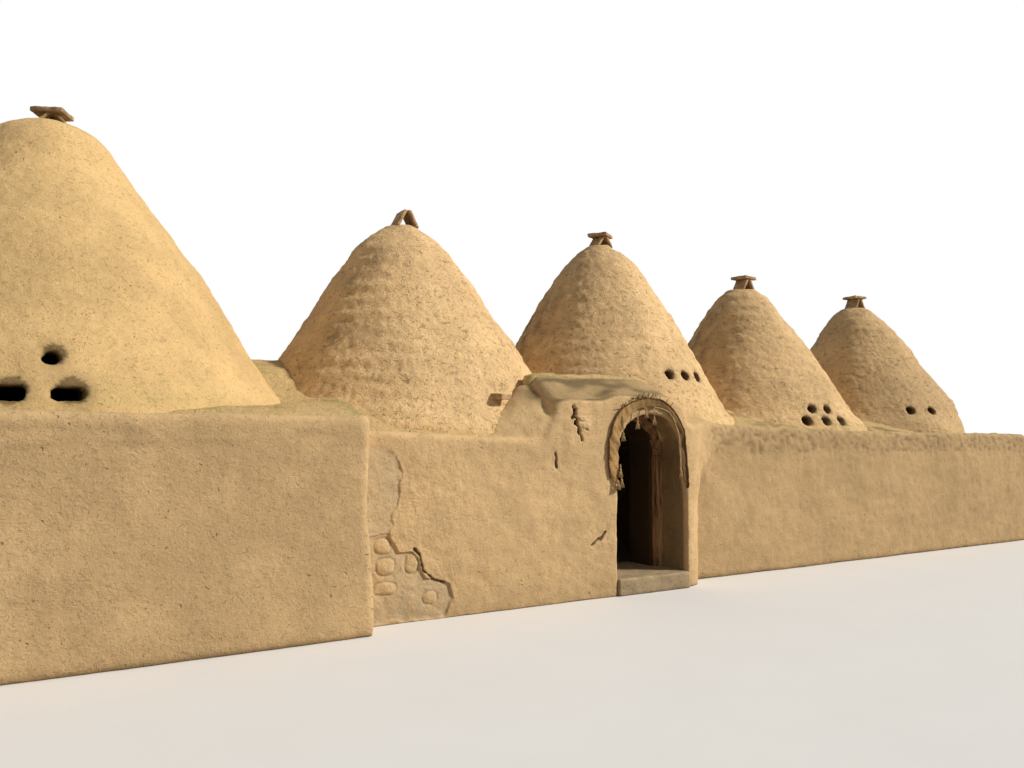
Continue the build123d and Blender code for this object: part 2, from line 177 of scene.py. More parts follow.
# Corners of the plaster that joins the raised doorway to the dome left of it and to
# the wall right of it
PORCH_HEAPS = [
    [(-2.60, -2.00, 1.62), (-2.05, -2.32, 1.62), (-1.88, -2.385, 1.62), (-1.20, -2.390, 1.62),
     (-2.40, -1.50, 1.62), (-1.00, -1.50, 1.62), (-2.60, -2.04, 1.86), (-2.05, -2.29, 1.84),
     (-1.89, -2.370, 1.98), (-1.60, -2.362, 2.21), (-1.20, -2.355, 2.26), (-2.15, -1.96, 2.18),
     (-1.88, -1.90, 2.28), (-1.45, -1.72, 2.26), (-1.35, -1.50, 2.32), (-1.00, -1.50, 2.34)],
    [(0.47, -2.385, 1.22), (0.55, -2.385, 1.32), (0.47, -2.385, 2.02), (0.56, -2.36, 1.86),
     (0.95, -2.09, 1.25), (1.50, -2.085, 1.88), (0.47, -1.95, 1.22), (1.50, -1.95, 1.88),
     (0.47, -2.02, 2.14), (0.80, -2.00, 2.02)],
]

# How far the outside of each dome lies from the plain round form where it meets the
# sky to the right and to the left, as height and distance
RIGHT_PROFILES = [
    [(2.9, 0.0), (3.3, 0.02), (3.58, 0.045), (3.79, 0.012), (4.02, 0.0), (4.24, -0.035),
     (4.47, -0.05), (4.93, -0.05), (5.1, -0.04)],
    [(3.1, 0.03), (3.3, -0.01), (3.45, -0.02), (3.8, 0.01), (4.1, -0.04), (4.3, -0.045),
     (4.55, -0.07)],
    [(3.5, 0.0), (4.45, 0.0), (4.6, -0.035), (4.7, -0.08)],
    [(3.2, 0.0), (3.55, -0.028), (3.75, -0.041), (3.92, -0.060), (4.08, -0.038), (4.21, -0.016)],
    [(1.95, -0.16), (2.2, -0.03), (2.45, 0.05), (2.65, 0.04), (2.9, 0.02), (3.2, -0.02),
     (3.5, 0.015), (3.88, -0.025), (4.0, -0.034), (4.28, -0.03)],
]
LEFT_PROFILES = [
    [(2.0, 0.0), (5.0, 0.0)],
    [(3.2, -0.02), (3.46, -0.02), (3.6, 0.0), (3.86, 0.025), (4.1, 0.005), (4.3, 0.03), (4.5, 0.04)],
    [(3.0, 0.0), (4.6, 0.0)],
    [(3.4, -0.027), (3.8, -0.01), (4.1, 0.022), (4.27, 0.045)],
    [(3.5, -0.07), (3.66, -0.07), (3.87, -0.038), (4.02, -0.028), (4.17, 0.012)],
]

# Painted shade on the left flanks of the domes, with damp blotches in it: dome, bearing
# from the front in degrees, height, radius, darkness
FLANK_SHADE_AND_DAMP = [
    (1, -61, 3.72, 0.15, 0.28), (1, -57, 3.04, 0.20, 0.28), (1, -50, 4.02, 0.18, 0.22),
    (1, -41, 3.03, 0.22, 0.12), (1, -66, 2.55, 0.30, 0.18), (2, -55, 2.75, 0.45, 0.26),
    (2, -62, 3.40, 0.45, 0.24), (2, -42, 2.42, 0.22, 0.22), (3, -60, 2.80, 0.50, 0.26),
    (3, -55, 3.50, 0.35, 0.16), (4, -50, 2.70, 0.40, 0.10), (2, -95, 2.80, 1.00, 0.34),
    (3, -95, 2.80, 1.00, 0.32), (1, -100, 3.00, 0.90, 0.10), (2, -112, 2.80, 1.20, 0.54),
    (3, -112, 2.80, 1.20, 0.48),
]


def length(name, description, default, least=0.0):
    """A size that a user would change."""
    return bpy.props.FloatProperty(
        name=name, description=description, default=default, min=least, unit="LENGTH"
    )


def swatch(name, description, default):
    """A colour that a user would change."""
    return bpy.props.FloatVectorProperty(
        name=name, description=description, default=default, subtype="COLOR", min=0.0, max=1.0
    )


class HouseSizes(bpy.types.PropertyGroup):
    """Sizes of the dressing over the frame."""

    dome_mesh: length("Dome mesh", "Spacing of the mesh over the domes", 0.0293, 0.02)
    wall_mesh: length("Wall mesh", "Spacing of the mesh over the walls", 0.0337, 0.02)
    earth_mesh: length("Earth mesh", "Spacing of the mesh over the roof earth", 0.0371, 0.02)
    slab_mesh: length("Slab mesh", "Spacing of the mesh over the cap slabs", 0.0087, 0.004)
    wave_height: length("Wave height", "Unevenness of the plaster over a metre or so", 0.030)
    clod_height: length("Clod height", "Height of the clods of mud on the domes", 0.016)
    band_thickness: length("Band thickness", "Thickness of the woven band", 0.009, 0.001)


class HouseColours(bpy.types.PropertyGroup):
    """Colours of the finishes."""

    plaster: swatch("Plaster", "Dry mud and straw plaster", (0.74, 0.495, 0.245))
    plaster_dark: swatch("Dark plaster", "Weathered plaster", (0.46, 0.295, 0.135))
    plaster_grey: swatch("Grey plaster", "Old plaster and mortar", (0.58, 0.44, 0.26))
    straw: swatch("Straw", "Straw in the plaster", (0.88, 0.66, 0.36))
    earth: swatch("Roof earth", "Packed earth on the roof", (0.72, 0.50, 0.225))
    moss: swatch("Green stain", "Green stain on damp earth and plaster", (0.42, 0.335, 0.12))
    clay: swatch("Cap slabs", "Rough slabs over the smoke holes", (0.56, 0.37, 0.19))
    timber: swatch("Timber", "Old timber of the door frame", (0.31, 0.165, 0.070))
    band: swatch("Woven band", "Coarse woven band round the doorway", (0.50, 0.295, 0.115))
    sill: swatch("Sill stone", "Worn stone of the sill", (0.44, 0.32, 0.175))


class Wire:
    """A socket of a node tree; arithmetic on it adds Math nodes."""

    def __init__(self, graph, socket):
        self.graph = graph
        self.socket = socket

    def __add__(self, other):
        return self.graph.math("ADD", self, other)

    def __sub__(self, other):
        return self.graph.math("SUBTRACT", self, other)

    def __rsub__(self, other):
        return self.graph.math("SUBTRACT", other, self)

    def __mul__(self, other):
        return self.graph.math("MULTIPLY", self, other)

    def __rmul__(self, other):
        return self.graph.math("MULTIPLY", other, self)


class Graph:
    """A node tree that is built from expressions."""

    def __init__(self, tree):
        self.tree = tree

    def node(self, kind, settings=None, inputs=None, output=0):
        """Add a node: its settings first, then values or links for its sockets."""
        made = self.tree.nodes.new(kind)
        for name, value in (settings or {}).items():
            setattr(made, name, value)
        for key, value in (inputs or {}).items():
            if isinstance(value, Wire):
                self.tree.links.new(value.socket, made.inputs[key])
            else:
                made.inputs[key].default_value = value
        return Wire(self, made.outputs[output])

    def math(self, operation, first, second):
        return self.node("ShaderNodeMath", {"operation": operation}, {0: first, 1: second})

    def vector(self, operation, first, second):
        return self.node("ShaderNodeVectorMath", {"operation": operation}, {0: first, 1: second})

    def noise(self, place, scale, detail=3.0, rough=0.55):
        return self.node(
            "ShaderNodeTexNoise", {"noise_dimensions": "3D"},
            {"Vector": place, "Scale": scale, "Detail": detail, "Roughness": rough},
        )

    def cells(self, place, scale, feature="F1", output="Distance"):
        return self.node(
            "ShaderNodeTexVoronoi", {"feature": feature}, {"Vector": place, "Scale": scale}, output
        )

    def fade(self, value, start, end, low=0.0, high=1.0):
        """Smooth change from low at start to high at end."""
        return self.node(
            "ShaderNodeMapRange", {"interpolation_type": "SMOOTHSTEP"},
            {"Value": value, "From Min": start, "From Max": end, "To Min": low, "To Max": high},
        )

    def blend(self, factor, first, second, mode="MIX"):
        """Mix of two colours."""
        return self.node(
            "ShaderNodeMix", {"data_type": "RGBA", "blend_type": mode},
            {0: factor, 6: first, 7: second}, 2,
        )


def shade(colour, share=1.0):
    """A colour as four numbers, made lighter or darker."""
    return (*(min(part * share, 1.0) for part in colour[:3]), 1.0)


def paint(name, share=1.0):
    """One of the colours of the house, made lighter or darker."""
    return shade(getattr(bpy.context.scene.house_colours, name), share)


class Finish(Graph):
    """A material on object coordinates: coats of colour, and a bump."""

    def __init__(self, name):
        self.material = bpy.data.materials.new(name)
        self.material.use_nodes = True
        super().__init__(self.material.node_tree)
        self.shader = self.tree.nodes["Principled BSDF"]
        self.place = self.node("ShaderNodeTexCoord", output="Object")

    def stretched(self, scale, turn=(0.0, 0.0, 0.0)):
        """Object coordinates, turned and stretched."""
        return self.node(
            "ShaderNodeMapping", inputs={"Vector": self.place, "Rotation": turn, "Scale": scale}
        )

    def stains_and_shade(self):
        """The dark share, with stain, soot and painted shade in it, and the green and bare shares
        that a worn surface keeps on its points.
        """
        kept = self.node("ShaderNodeAttribute", {"attribute_name": "weather"}, output="Color")
        parts = self.node("ShaderNodeSeparateColor", inputs={0: kept}).socket.node.outputs
        return [Wire(self, part) for part in parts]

    def spots(self, place, scale, size, chosen):
        """Round spots in some cells of a pattern."""
        return self.fade(self.cells(place, scale), *size) * self.fade(
            self.cells(place, scale, output="Color"), *chosen)

    def ground(self, factor, first, second):
        """Start the colour as a mix of two shades."""
        self.colour = self.blend(factor, first, second)

    def coat(self, factor, cover, mode="MIX"):
        """Lay a shade over the colour so far."""
        self.colour = self.blend(factor, self.colour, cover, mode)

    def set(self, name, value):
        """Give the main shader a value or a link."""
        if isinstance(value, Wire):
            self.tree.links.new(value.socket, self.shader.inputs[name])
        else:
            self.shader.inputs[name].default_value = value

    def done(self, grit, roughness, height, depth, shine=0.5):
        """The material, with its colour, a roughness that follows the grit, and a bump."""
        self.set("Base Color", self.colour)
        self.set("Roughness", self.fade(grit, 0.3, 0.7, *roughness))
        self.set("Specular IOR Level", shine)
        self.set("Normal", self.node("ShaderNodeBump", inputs={"Height": height, "Distance": depth}))
        return self.material


def plaster_finish(name, rough, blue=1.0):
    """Mud and straw plaster; rough from 0, smoothed by hand, to 1, weathered to clods."""
    mud = Finish(name)
    dark_stain_and_shade, green_stain, bare = mud.stains_and_shade()
    drift = mud.noise(mud.place, 0.55, 4.0)
    patches = mud.noise(mud.place, 2.1, 6.0, 0.62)
    mottle = mud.noise(mud.place, 10.5, 6.0, 0.68)
    grain = mud.noise(mud.place, 52.0, 4.0, 0.7)
    sway = mud.node(
        "ShaderNodeTexNoise", None, {"Vector": mud.place, "Scale": 6.5, "Detail": 3.0}, "Color")
    bent = mud.vector("ADD", mud.place, mud.node(
        "ShaderNodeVectorMath", {"operation": "SCALE"}, {0: sway, "Scale": 0.16}))
    level = mud.vector("MULTIPLY", bent, (1.0, 1.0, 1.7))

    small_folds = mud.noise(level, 21.0, 3.0, 0.62)
    dents = mud.fade(mud.noise(level, 9.5, 3.0, 0.6), 0.395, 0.330) * 0.8
    creases = mud.fade(mud.math("ABSOLUTE", small_folds - 0.5, 0.0), 0.020, 0.004) * mud.fade(
        mottle, 0.50, 0.60)
    flecks = mud.fade(mud.noise(bent, 33.0, 4.0, 0.72), 0.400, 0.330)
    holes = mud.spots(bent, 15.0, (0.20, 0.09), (0.80, 0.84))
    cracks = mud.fade(mud.cells(level, 1.7, "DISTANCE_TO_EDGE"), 0.012, 0.003) * mud.fade(
        mud.noise(mud.place, 1.35, 3.0), 0.62, 0.68)
    hollows = dents * (0.80 * rough - 0.10) + creases * (0.45 * rough)
    for part in (flecks * (0.22 + 0.16 * rough), holes * 0.70, cracks * 0.30):
        hollows = mud.math("MAXIMUM", hollows, part)
    hollows = mud.node("ShaderNodeClamp", inputs={0: hollows})

    straw_a = mud.cells(mud.stretched((70.0, 70.0, 17.0), (0.5, 0.9, 0.3)), 1.0)
    straw_b = mud.cells(mud.stretched((17.0, 70.0, 78.0), (0.2, 0.5, 0.8)), 1.0)
    straw = mud.fade(straw_a, 0.26, 0.16) + mud.fade(straw_b, 0.24, 0.15)
    straw = straw * mud.fade(grain, 0.46, 0.56)

    pale = 1.0 + 0.36 * max(rough - 0.4, 0.0)
    mud.ground(mud.fade(patches + 0.5 * drift, 0.60, 0.92), paint("plaster", 0.86 * pale),
               paint("plaster", 1.03 * pale))
    mud.coat(mud.fade(mottle, 0.56, 0.36) * 0.24, paint("plaster_dark"))
    mud.coat(mud.fade(grain, 0.50, 0.72) * 0.30, paint("straw"))
    mud.coat(straw * 0.30, paint("straw", 1.05))
    mud.coat(bare * mud.fade(mottle, 0.30, 0.52, 0.55, 1.0), paint("plaster_grey"))
    mud.coat(green_stain * mud.fade(mottle, 0.36, 0.62), paint("moss", 1.15))
    # Painted shade in the dents, creases, flecks, pits and cracks, which the bump below also sinks
    mud.coat(hollows * 0.66, paint("plaster_dark", 0.45))
    # The dark share darkens the plaster: stain and soot, and painted shade
    mud.coat(dark_stain_and_shade, paint("plaster_dark", 0.10))
    mud.coat(1.0, (1.0, 1.0, blue, 1.0), "MULTIPLY")
    height = mottle * (0.40 + 0.30 * rough) + grain * 0.16 + straw * 0.05 - hollows * 0.45
    return mud.done(grain, (0.88, 1.0), height + small_folds * (0.40 * rough), 0.024 + 0.008 * rough,
                    0.18)


def earth_finish():
    """Packed roof earth, green in places."""
    soil = Finish("roof_earth")
    crumbs = soil.noise(soil.place, 15.0, 6.0, 0.72)
    grit = soil.noise(soil.place, 70.0, 3.0, 0.7)
    pebbles = soil.spots(soil.place, 24.0, (0.34, 0.20), (0.72, 0.78))
    soil.ground(soil.fade(soil.noise(soil.place, 1.7, 5.0, 0.6), 0.42, 0.64), paint("earth"),
                paint("moss", 1.15))
    soil.coat(soil.fade(crumbs, 0.44, 0.66) * 0.75, paint("plaster", 0.95))
    soil.coat(soil.fade(crumbs, 0.44, 0.34) * 0.6, paint("earth", 0.45))
    soil.coat(soil.fade(grit, 0.50, 0.32) * 0.4, paint("earth", 0.5))
    soil.coat(pebbles * 0.6, paint("plaster_grey"))
    # The dark share darkens the earth: dark earth, and painted shade
    soil.coat(soil.stains_and_shade()[0], paint("plaster_dark", 0.10))
    return soil.done(grit, (0.90, 1.0), crumbs + grit * 0.25 + pebbles * 0.3, 0.040, 0.15)


def slab_finish():
    """Rough fired clay with lime and soot on it."""
    clay = Finish("cap_slabs")
    cloud = clay.noise(clay.place, 7.0, 5.0, 0.6)
    grit = clay.noise(clay.place, 58.0, 4.0, 0.7)
    pores = clay.fade(clay.cells(clay.place, 95.0), 0.30, 0.12)
    clay.ground(clay.fade(cloud, 0.34, 0.70), paint("clay", 0.6), paint("clay", 1.15))
    clay.coat(clay.fade(grit, 0.55, 0.75) * 0.55, paint("plaster", 0.95))
    clay.coat(clay.fade(clay.noise(clay.place, 3.1, 3.0), 0.50, 0.66) * 0.50, paint("clay", 0.28))
    clay.coat(pores * 0.6, paint("clay", 0.35))
    return clay.done(grit, (0.78, 0.96), cloud * 0.6 + grit * 0.3 - pores * 0.2, 0.014, 0.25)


def timber_finish(name, stretch, highlight_edge=None):
    """Old dark timber; stretch follows the run of its grain, and the last argument is where a painted
    highlight runs along its edge.
    """
    wood = Finish(name)
    rings = wood.noise(wood.stretched(stretch), 1.0, 6.0, 0.66)
    fibres = wood.noise(wood.stretched(tuple(3.6 * part for part in stretch)), 1.0, 3.0, 0.6)
    wear = wood.noise(wood.place, 4.2, 4.0)
    checks = wood.fade(rings, 0.46, 0.40) * wood.fade(fibres, 0.48, 0.56)
    wood.ground(wood.fade(rings, 0.34, 0.68), paint("timber", 0.55), paint("timber", 1.6))
    wood.coat(wood.fade(fibres, 0.52, 0.72) * 0.5, paint("timber", 2.4))
    wood.coat(wood.fade(wear, 0.55, 0.70) * 0.45, paint("plaster", 0.62))
    wood.coat(checks * 0.9, paint("timber", 0.16))
    if highlight_edge:
        # Painted highlight: a pale line along the edge, broken by the wear noise
        along = wood.node("ShaderNodeSeparateXYZ", inputs={0: wood.place})
        edge = wood.fade(along, highlight_edge - 0.012, highlight_edge) * wood.fade(wear, 0.42, 0.52)
        wood.coat(edge * 0.8, paint("plaster", 0.80))
    return wood.done(fibres, (0.62, 0.86), rings * 0.7 + fibres * 0.3 - checks * 0.8, 0.007)


def band_finish():
    """Coarse weave on the band's own flat map, in metres along and across."""
    cloth = Finish("woven_band")
    flat = cloth.node("ShaderNodeUVMap", {"uv_map": "weave"})
    warp, weft = (
        cloth.node("ShaderNodeTexWave", {"wave_type": "BANDS", "bands_direction": way},
                   {"Vector": flat, "Scale": threads, "Distortion": bend, "Detail": 2.0,
                    "Detail Scale": 1.4}, "Fac")
        for way, threads, bend in (("X", 26.0, 1.6), ("Y", 29.9, 1.4)))
    fuzz = cloth.noise(cloth.place, 210.0, 3.0, 0.7)
    fade = cloth.noise(cloth.place, 6.0, 5.0, 0.66)
    dust = cloth.noise(cloth.place, 19.0, 4.0, 0.6)
    along = cloth.node("ShaderNodeSeparateXYZ", inputs={0: cloth.place})
    cloth.ground(cloth.fade(fade, 0.34, 0.68), paint("band", 0.72), paint("band", 1.35))
    cloth.coat(cloth.fade(warp * weft, 0.10, 0.55) * 0.35, paint("band", 1.9))
    cloth.coat(cloth.fade(dust, 0.54, 0.70) * 0.40, paint("plaster"))
    # Painted shade: darker towards the right end, where the band curls into the arch, and darker
    # cloth there
    cloth.coat(cloth.fade(along + 0.4 * fade, -0.55, 0.10) * 0.85, paint("band", 0.30))
    cloth.coat(cloth.fade(fuzz, 0.48, 0.30) * 0.35, paint("band", 0.45))
    return cloth.done(fuzz, (0.85, 1.0), warp * 0.5 + weft * 0.5 + fuzz * 0.35, 0.004, 0.15)


def yarn_finish(name, colour, low, high):
    """Twisted yarn, lighter and darker along its run."""
    yarn = Finish(name)
    cloud = yarn.noise(yarn.place, 24.0, 4.0, 0.65)
    fuzz = yarn.noise(yarn.stretched((420.0, 420.0, 90.0)), 1.0, 2.0, 0.6)
    yarn.ground(yarn.fade(cloud, 0.34, 0.68), shade(colour, low), shade(colour, high))
    yarn.coat(yarn.fade(fuzz, 0.50, 0.32) * 0.5, shade(colour, low * 0.5))
    return yarn.done(fuzz, (0.84, 1.0), fuzz, 0.002, 0.15)


def sill_finish():
    """Worn limestone with trodden dust."""
    stone = Finish("sill_stone")
    cloud = stone.noise(stone.place, 4.0, 6.0, 0.62)
    grit = stone.noise(stone.place, 64.0, 4.0, 0.7)
    chips = stone.spots(stone.place, 30.0, (0.26, 0.12), (0.60, 0.70))
    stone.ground(stone.fade(cloud, 0.36, 0.66), paint("sill", 0.72), paint("sill"))
    stone.coat(stone.fade(grit, 0.52, 0.74) * 0.5, paint("sill", 1.35))
    stone.coat(chips * 0.6, paint("sill", 0.38))
    return stone.done(grit, (0.74, 0.92), cloud * 0.6 + grit * 0.3 - chips * 0.5, 0.016)


def corner_stone_finish():
    """Split field stone under smoke-darkened mud."""
    stone = Finish("corner_stone")
    beds = stone.noise(stone.stretched((5.0, 5.0, 26.0)), 1.0, 5.0, 0.62)
    grit = stone.noise(stone.place, 50.0, 4.0, 0.7)
    stone.ground(stone.fade(beds, 0.36, 0.66), paint("plaster_grey", 0.55),
                 paint("plaster_grey", 0.95))
    stone.coat(stone.fade(grit, 0.54, 0.74) * 0.4, paint("plaster_grey", 1.3))
    return stone.done(grit, (0.84, 0.98), beds * 0.7 + grit * 0.3, 0.018)


def relief_tree():
    """Node tree that pushes a surface in and out along its normals."""
    tree = bpy.data.node_groups.new("plaster_relief", "GeometryNodeTree")
    kinds = {
        "Geometry": "Geometry", "Lift": "Float", "Stretch": "Vector", "Seed": "Int",
        "Finish": "Material",
    }
    for what in ("Wave", "Clod", "Course", "Grain"):
        kinds[f"{what} height"] = kinds[f"{what} size"] = "Float"
    for name, kind in kinds.items():
        tree.interface.new_socket(name, in_out="INPUT", socket_type=f"NodeSocket{kind}")
    tree.interface.new_socket("Geometry", in_out="OUTPUT", socket_type="NodeSocketGeometry")
    relief = Graph(tree)
    given = tree.nodes.new("NodeGroupInput")
    inputs = {socket.name: Wire(relief, socket) for socket in given.outputs if socket.name}
    place = relief.vector("MULTIPLY", relief.node("GeometryNodeInputPosition"), inputs["Stretch"])
    place = relief.vector("ADD", place, relief.node(
        "ShaderNodeCombineXYZ", inputs={0: inputs["Seed"] * 13.7, 1: inputs["Seed"] * 7.3}))
    calm = relief.node("GeometryNodeInputNamedAttribute", {"data_type": "FLOAT"}, {"Name": "calm"})

    def unevenness(size, detail, rough):
        per_metre = relief.math("DIVIDE", 1.0, size)
        return relief.noise(place, per_metre, detail, rough) - 0.5

    waves = inputs["Wave height"] * 2.0 * unevenness(inputs["Wave size"], 2.0, 0.5)
    clods = unevenness(inputs["Clod size"], 3.0, 0.6)
    beads = 0.35 - relief.cells(place, relief.math("DIVIDE", 1.0, inputs["Clod size"]), "SMOOTH_F1")
    clods = inputs["Clod height"] * (clods * 1.6 + beads)
    grain = inputs["Grain height"] * 2.0 * unevenness(inputs["Grain size"], 2.0, 0.6)
    height = relief.node("ShaderNodeSeparateXYZ", inputs={0: place}, output="Z")
    sway = unevenness(inputs["Wave size"], 1.0, 0.5)
    turn = (height + 0.10 * sway) * relief.math("DIVIDE", math.tau, inputs["Course size"])
    courses = inputs["Course height"] * relief.math("SINE", turn, 0.0) * (
        relief.fade(unevenness(inputs["Wave size"], 2.0, 0.5), -0.08, 0.10))
    total = (waves + clods + grain + courses) * (1.0 - calm) + inputs["Lift"]
    offset = relief.node("ShaderNodeVectorMath", {"operation": "SCALE"},
                         {0: relief.node("GeometryNodeInputNormal"), "Scale": total})
    moved = relief.node("GeometryNodeSetPosition",
                        inputs={"Geometry": inputs["Geometry"], "Offset": offset})
    whole = relief.node("GeometryNodeRealizeInstances", inputs={"Geometry": moved})
    finished = relief.node("GeometryNodeSetMaterial",
                           inputs={"Geometry": whole, "Material": inputs["Finish"]})
    tree.links.new(finished.socket, tree.nodes.new("NodeGroupOutput").inputs[0])
    return tree


def settle(piece):
    """Turn what a piece's modifiers show into its plain mesh."""
    bpy.context.view_layer.update()
    shown = piece.evaluated_get(bpy.context.evaluated_depsgraph_get())
    mesh = bpy.data.meshes.new_from_object(shown)
    old = piece.data
    piece.modifiers.clear()
    piece.data = mesh
    mesh.name = piece.name
    bpy.data.meshes.remove(old)


def grow(piece, tree, values):
    """Run a node tree over a piece with the given inputs."""
    modifier = piece.modifiers.new("growth", "NODES")
    modifier.node_group = tree
    for socket in tree.interface.items_tree:
        if socket.in_out == "INPUT" and socket.name in values:
            modifier[socket.identifier] = values[socket.name]
    settle(piece)


def make_piece(name, mesh):
    """An object of the given mesh, in the scene."""
    piece = bpy.data.objects.new(name, mesh)
    bpy.context.scene.collection.objects.link(piece)
    return piece


def opened(mesh):
    """A shape to edit, with the faces of a mesh."""
    shape = bmesh.new()
    shape.from_mesh(mesh)
    return shape


def put_back(shape, mesh):
    """Write an edited shape to a mesh and free it."""
    shape.to_mesh(mesh)
    shape.free()
    return mesh


def mesh_of(shape, name):
    """New mesh of a shape, which is freed."""
    return put_back(shape, bpy.data.meshes.new(name))


def copy_of_nodes(name, nodes):
    """One mesh with the solids of the named nodes, each with its triangles merged."""
    whole = bmesh.new()
    for node in nodes:
        single = opened(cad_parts[node].data)
        bmesh.ops.remove_doubles(single, verts=single.verts, dist=0.00005)
        mesh = mesh_of(single, "solid")
        whole.from_mesh(mesh)
        bpy.data.meshes.remove(mesh)
    return mesh_of(whole, name)


def drop_crumbs(mesh, fewest):
    """Remove loose scraps with fewer points than given."""
    shape = opened(mesh)
    unseen = set(shape.verts)
    scraps = []
    while unseen:
        group = [unseen.pop()]
        for point in group:
            for edge in point.link_edges:
                other = edge.other_vert(point)
                if other in unseen:
                    unseen.remove(other)
                    group.append(other)
        if len(group) < fewest:
            scraps += group
    bmesh.ops.delete(shape, geom=scraps, context="VERTS")
    put_back(shape, mesh)


def points_of(mesh, what="co"):
    """Points or normals of a mesh, one to a row."""
    values = np.empty(len(mesh.vertices) * 3)
    mesh.vertices.foreach_get(what, values)
    return values.reshape(-1, 3)


def set_points(mesh, points):
    mesh.vertices.foreach_set("co", points.ravel())
    mesh.update()


class Surface:
    """Points of a worn piece, their dark share of stain, soot and painted shade, their green and bare
    shares, and the calm that its finish and relief read.
    """

    def __init__(self, piece):
        self.mesh = piece.data
        self.points = points_of(self.mesh)
        self.normals = points_of(self.mesh, "normal")
        self.dark, self.green, self.bare, self.calm = np.zeros((4, len(self.points)))

    def darken(self, share):
        """Darken each point to the given share, where it isn't darker yet."""
        self.dark = np.maximum(self.dark, share)

    def keep(self):
        """Write the points, stains and calm to the mesh."""
        set_points(self.mesh, self.points)
        stains_and_shade = np.stack((self.dark, self.green, self.bare, np.ones(len(self.points))), axis=1)
        layer = self.mesh.color_attributes.new("weather", "FLOAT_COLOR", "POINT")
        layer.data.foreach_set("color", np.clip(stains_and_shade, 0.0, 1.0).ravel())
        layer = self.mesh.attributes.new("calm", "FLOAT", "POINT")
        layer.data.foreach_set("value", np.clip(self.calm, 0.0, 1.0))

def even_mesh(piece, spacing):
    """Give a piece an even mesh and drop loose scraps."""
    remesh = piece.modifiers.new("even", "REMESH")
    remesh.mode = "VOXEL"
    remesh.voxel_size = spacing
    settle(piece)
    drop_crumbs(piece.data, 60)


def smoothed(piece, times):
    soften = piece.modifiers.new("soften", "SMOOTH")
    soften.factor = 0.5
    soften.iterations = times
    settle(piece)


def thin(piece, hidden, share):
    """Join the faces of a piece where they are hidden, until a share of all its faces is left."""
    group = piece.vertex_groups.new(name="hidden")
    group.add(np.flatnonzero(hidden).tolist(), 1.0, "REPLACE")
    lighter = piece.modifiers.new("lighter", "DECIMATE")
    lighter.vertex_group = group.name
    lighter.ratio = share
    settle(piece)
    piece.vertex_groups.clear()


def refine_damage(mesh, margin):
    """Halve the faces that lie near damaged plaster."""
    shape = opened(mesh)
    shape.faces.ensure_lookup_table()
    near = near_damage(np.array([face.calc_center_median() for face in shape.faces]), margin)
    edges = {edge for face, hit in zip(shape.faces, near) if hit for edge in face.edges}
    bmesh.ops.subdivide_edges(shape, edges=list(edges), cuts=1, use_grid_fill=True)
    put_back(shape, mesh)


def step_up(value, start, end):
    """Smooth step from 0 at start to 1 at end."""
    share = np.clip((value - start) / (end - start), 0.0, 1.0)
    return share * share * (3.0 - 2.0 * share)


def step_down(value, start, end):
    """Smooth step from 1 at start to 0 at end."""
    return 1.0 - step_up(value, start, end)


def hump(value, start, full, fading, end):
    """Smooth rise from 0 to 1, then a smooth fall back to 0."""
    return step_up(value, start, full) * step_down(value, fading, end)


def distance_to_line(points, line):
    """Distance of flat points to a line of several runs."""
    nearest = np.full(len(points), 1e9)
    for start, end in zip(np.array(line[:-1]), np.array(line[1:])):
        run = end - start
        share = np.clip(((points - start) @ run) / (run @ run), 0.0, 1.0)
        gap = points - (start + share[:, None] * run)
        nearest = np.minimum(nearest, np.hypot(gap[:, 0], gap[:, 1]))
    return nearest


def depth_inside(points, outline):
    """Distance of flat points to an outline, above 0 inside it."""
    inside = np.zeros(len(points), dtype=bool)
    for start, end in zip(outline, outline[1:] + outline[:1]):
        crosses = (start[1] > points[:, 1]) != (end[1] > points[:, 1])
        slope = (end[0] - start[0]) / (end[1] - start[1] or 1e-9)
        inside ^= crosses & (points[:, 0] < start[0] + (points[:, 1] - start[1]) * slope)
    nearest = distance_to_line(points, outline + outline[:1])
    return np.where(inside, nearest, -nearest)


def rough_value(points, size, seed):
    """Noise between -1 and 1 at each point."""
    offset = Vector((seed * 3.1, seed * 1.7, seed * 5.3))
    return np.array([noise.noise(Vector(point) / size + offset) for point in points])


# In the functions that wear a surface x runs along the row, y into it and z up, in metres
def ledge_shift(points):
    """How far the wall tops lie above or below the plain model, along the row."""
    along = np.interp(
        points[:, 0],
        [-9.2, -3.95, -3.80, -1.80, -1.35, 0.62, 0.95, 1.5, 4.2, 6.9, 9.2],
        [0.0, 0.0, 0.01, -0.08, 0.0, 0.0, 0.09, 0.06, -0.01, -0.03, -0.04],
    )
    return along * hump(points[:, 2], 1.25, 1.80, 2.15, 2.75)


def porch_slope(points):
    """Rise of the earth over the doorway, from its front edge back to the dome."""
    x, y, z = points.T
    back = np.clip((y + 2.30) / 0.50, 0.0, 1.0) * step_down(y, -1.0, -0.6)
    low = hump(x, -1.75, -1.50, -0.95, -0.65) * step_down(y, -2.25, -1.95)
    return (0.24 * back - 0.04 - 0.07 * low) * hump(x, -2.05, -1.65, 0.25, 0.70) * step_up(
        z, 1.98, 2.20)


def swell_of(flat, places, uneven):
    """How far each flat point lies outside the nearest of some round places, 1 at an edge."""
    squareness = 2.6
    nearest = np.full(len(flat), 1e9)
    for x, z, half_width, half_height in places:
        reach = (np.abs((flat[:, 0] - x) / half_width) ** squareness
                 + np.abs((flat[:, 1] - z) / half_height) ** squareness)
        nearest = np.minimum(nearest, reach ** (1.0 / squareness) + uneven)
    return nearest


# Left, right, lower and upper end of the damaged places on the front
DAMAGED_PLACES = [
    (-3.80, -2.85, 0.10, 1.60), (-1.33, -1.15, 1.85, 2.20), (-1.58, -1.55, 1.50, 1.66),
    (-1.07, -0.87, 0.61, 0.75),
]


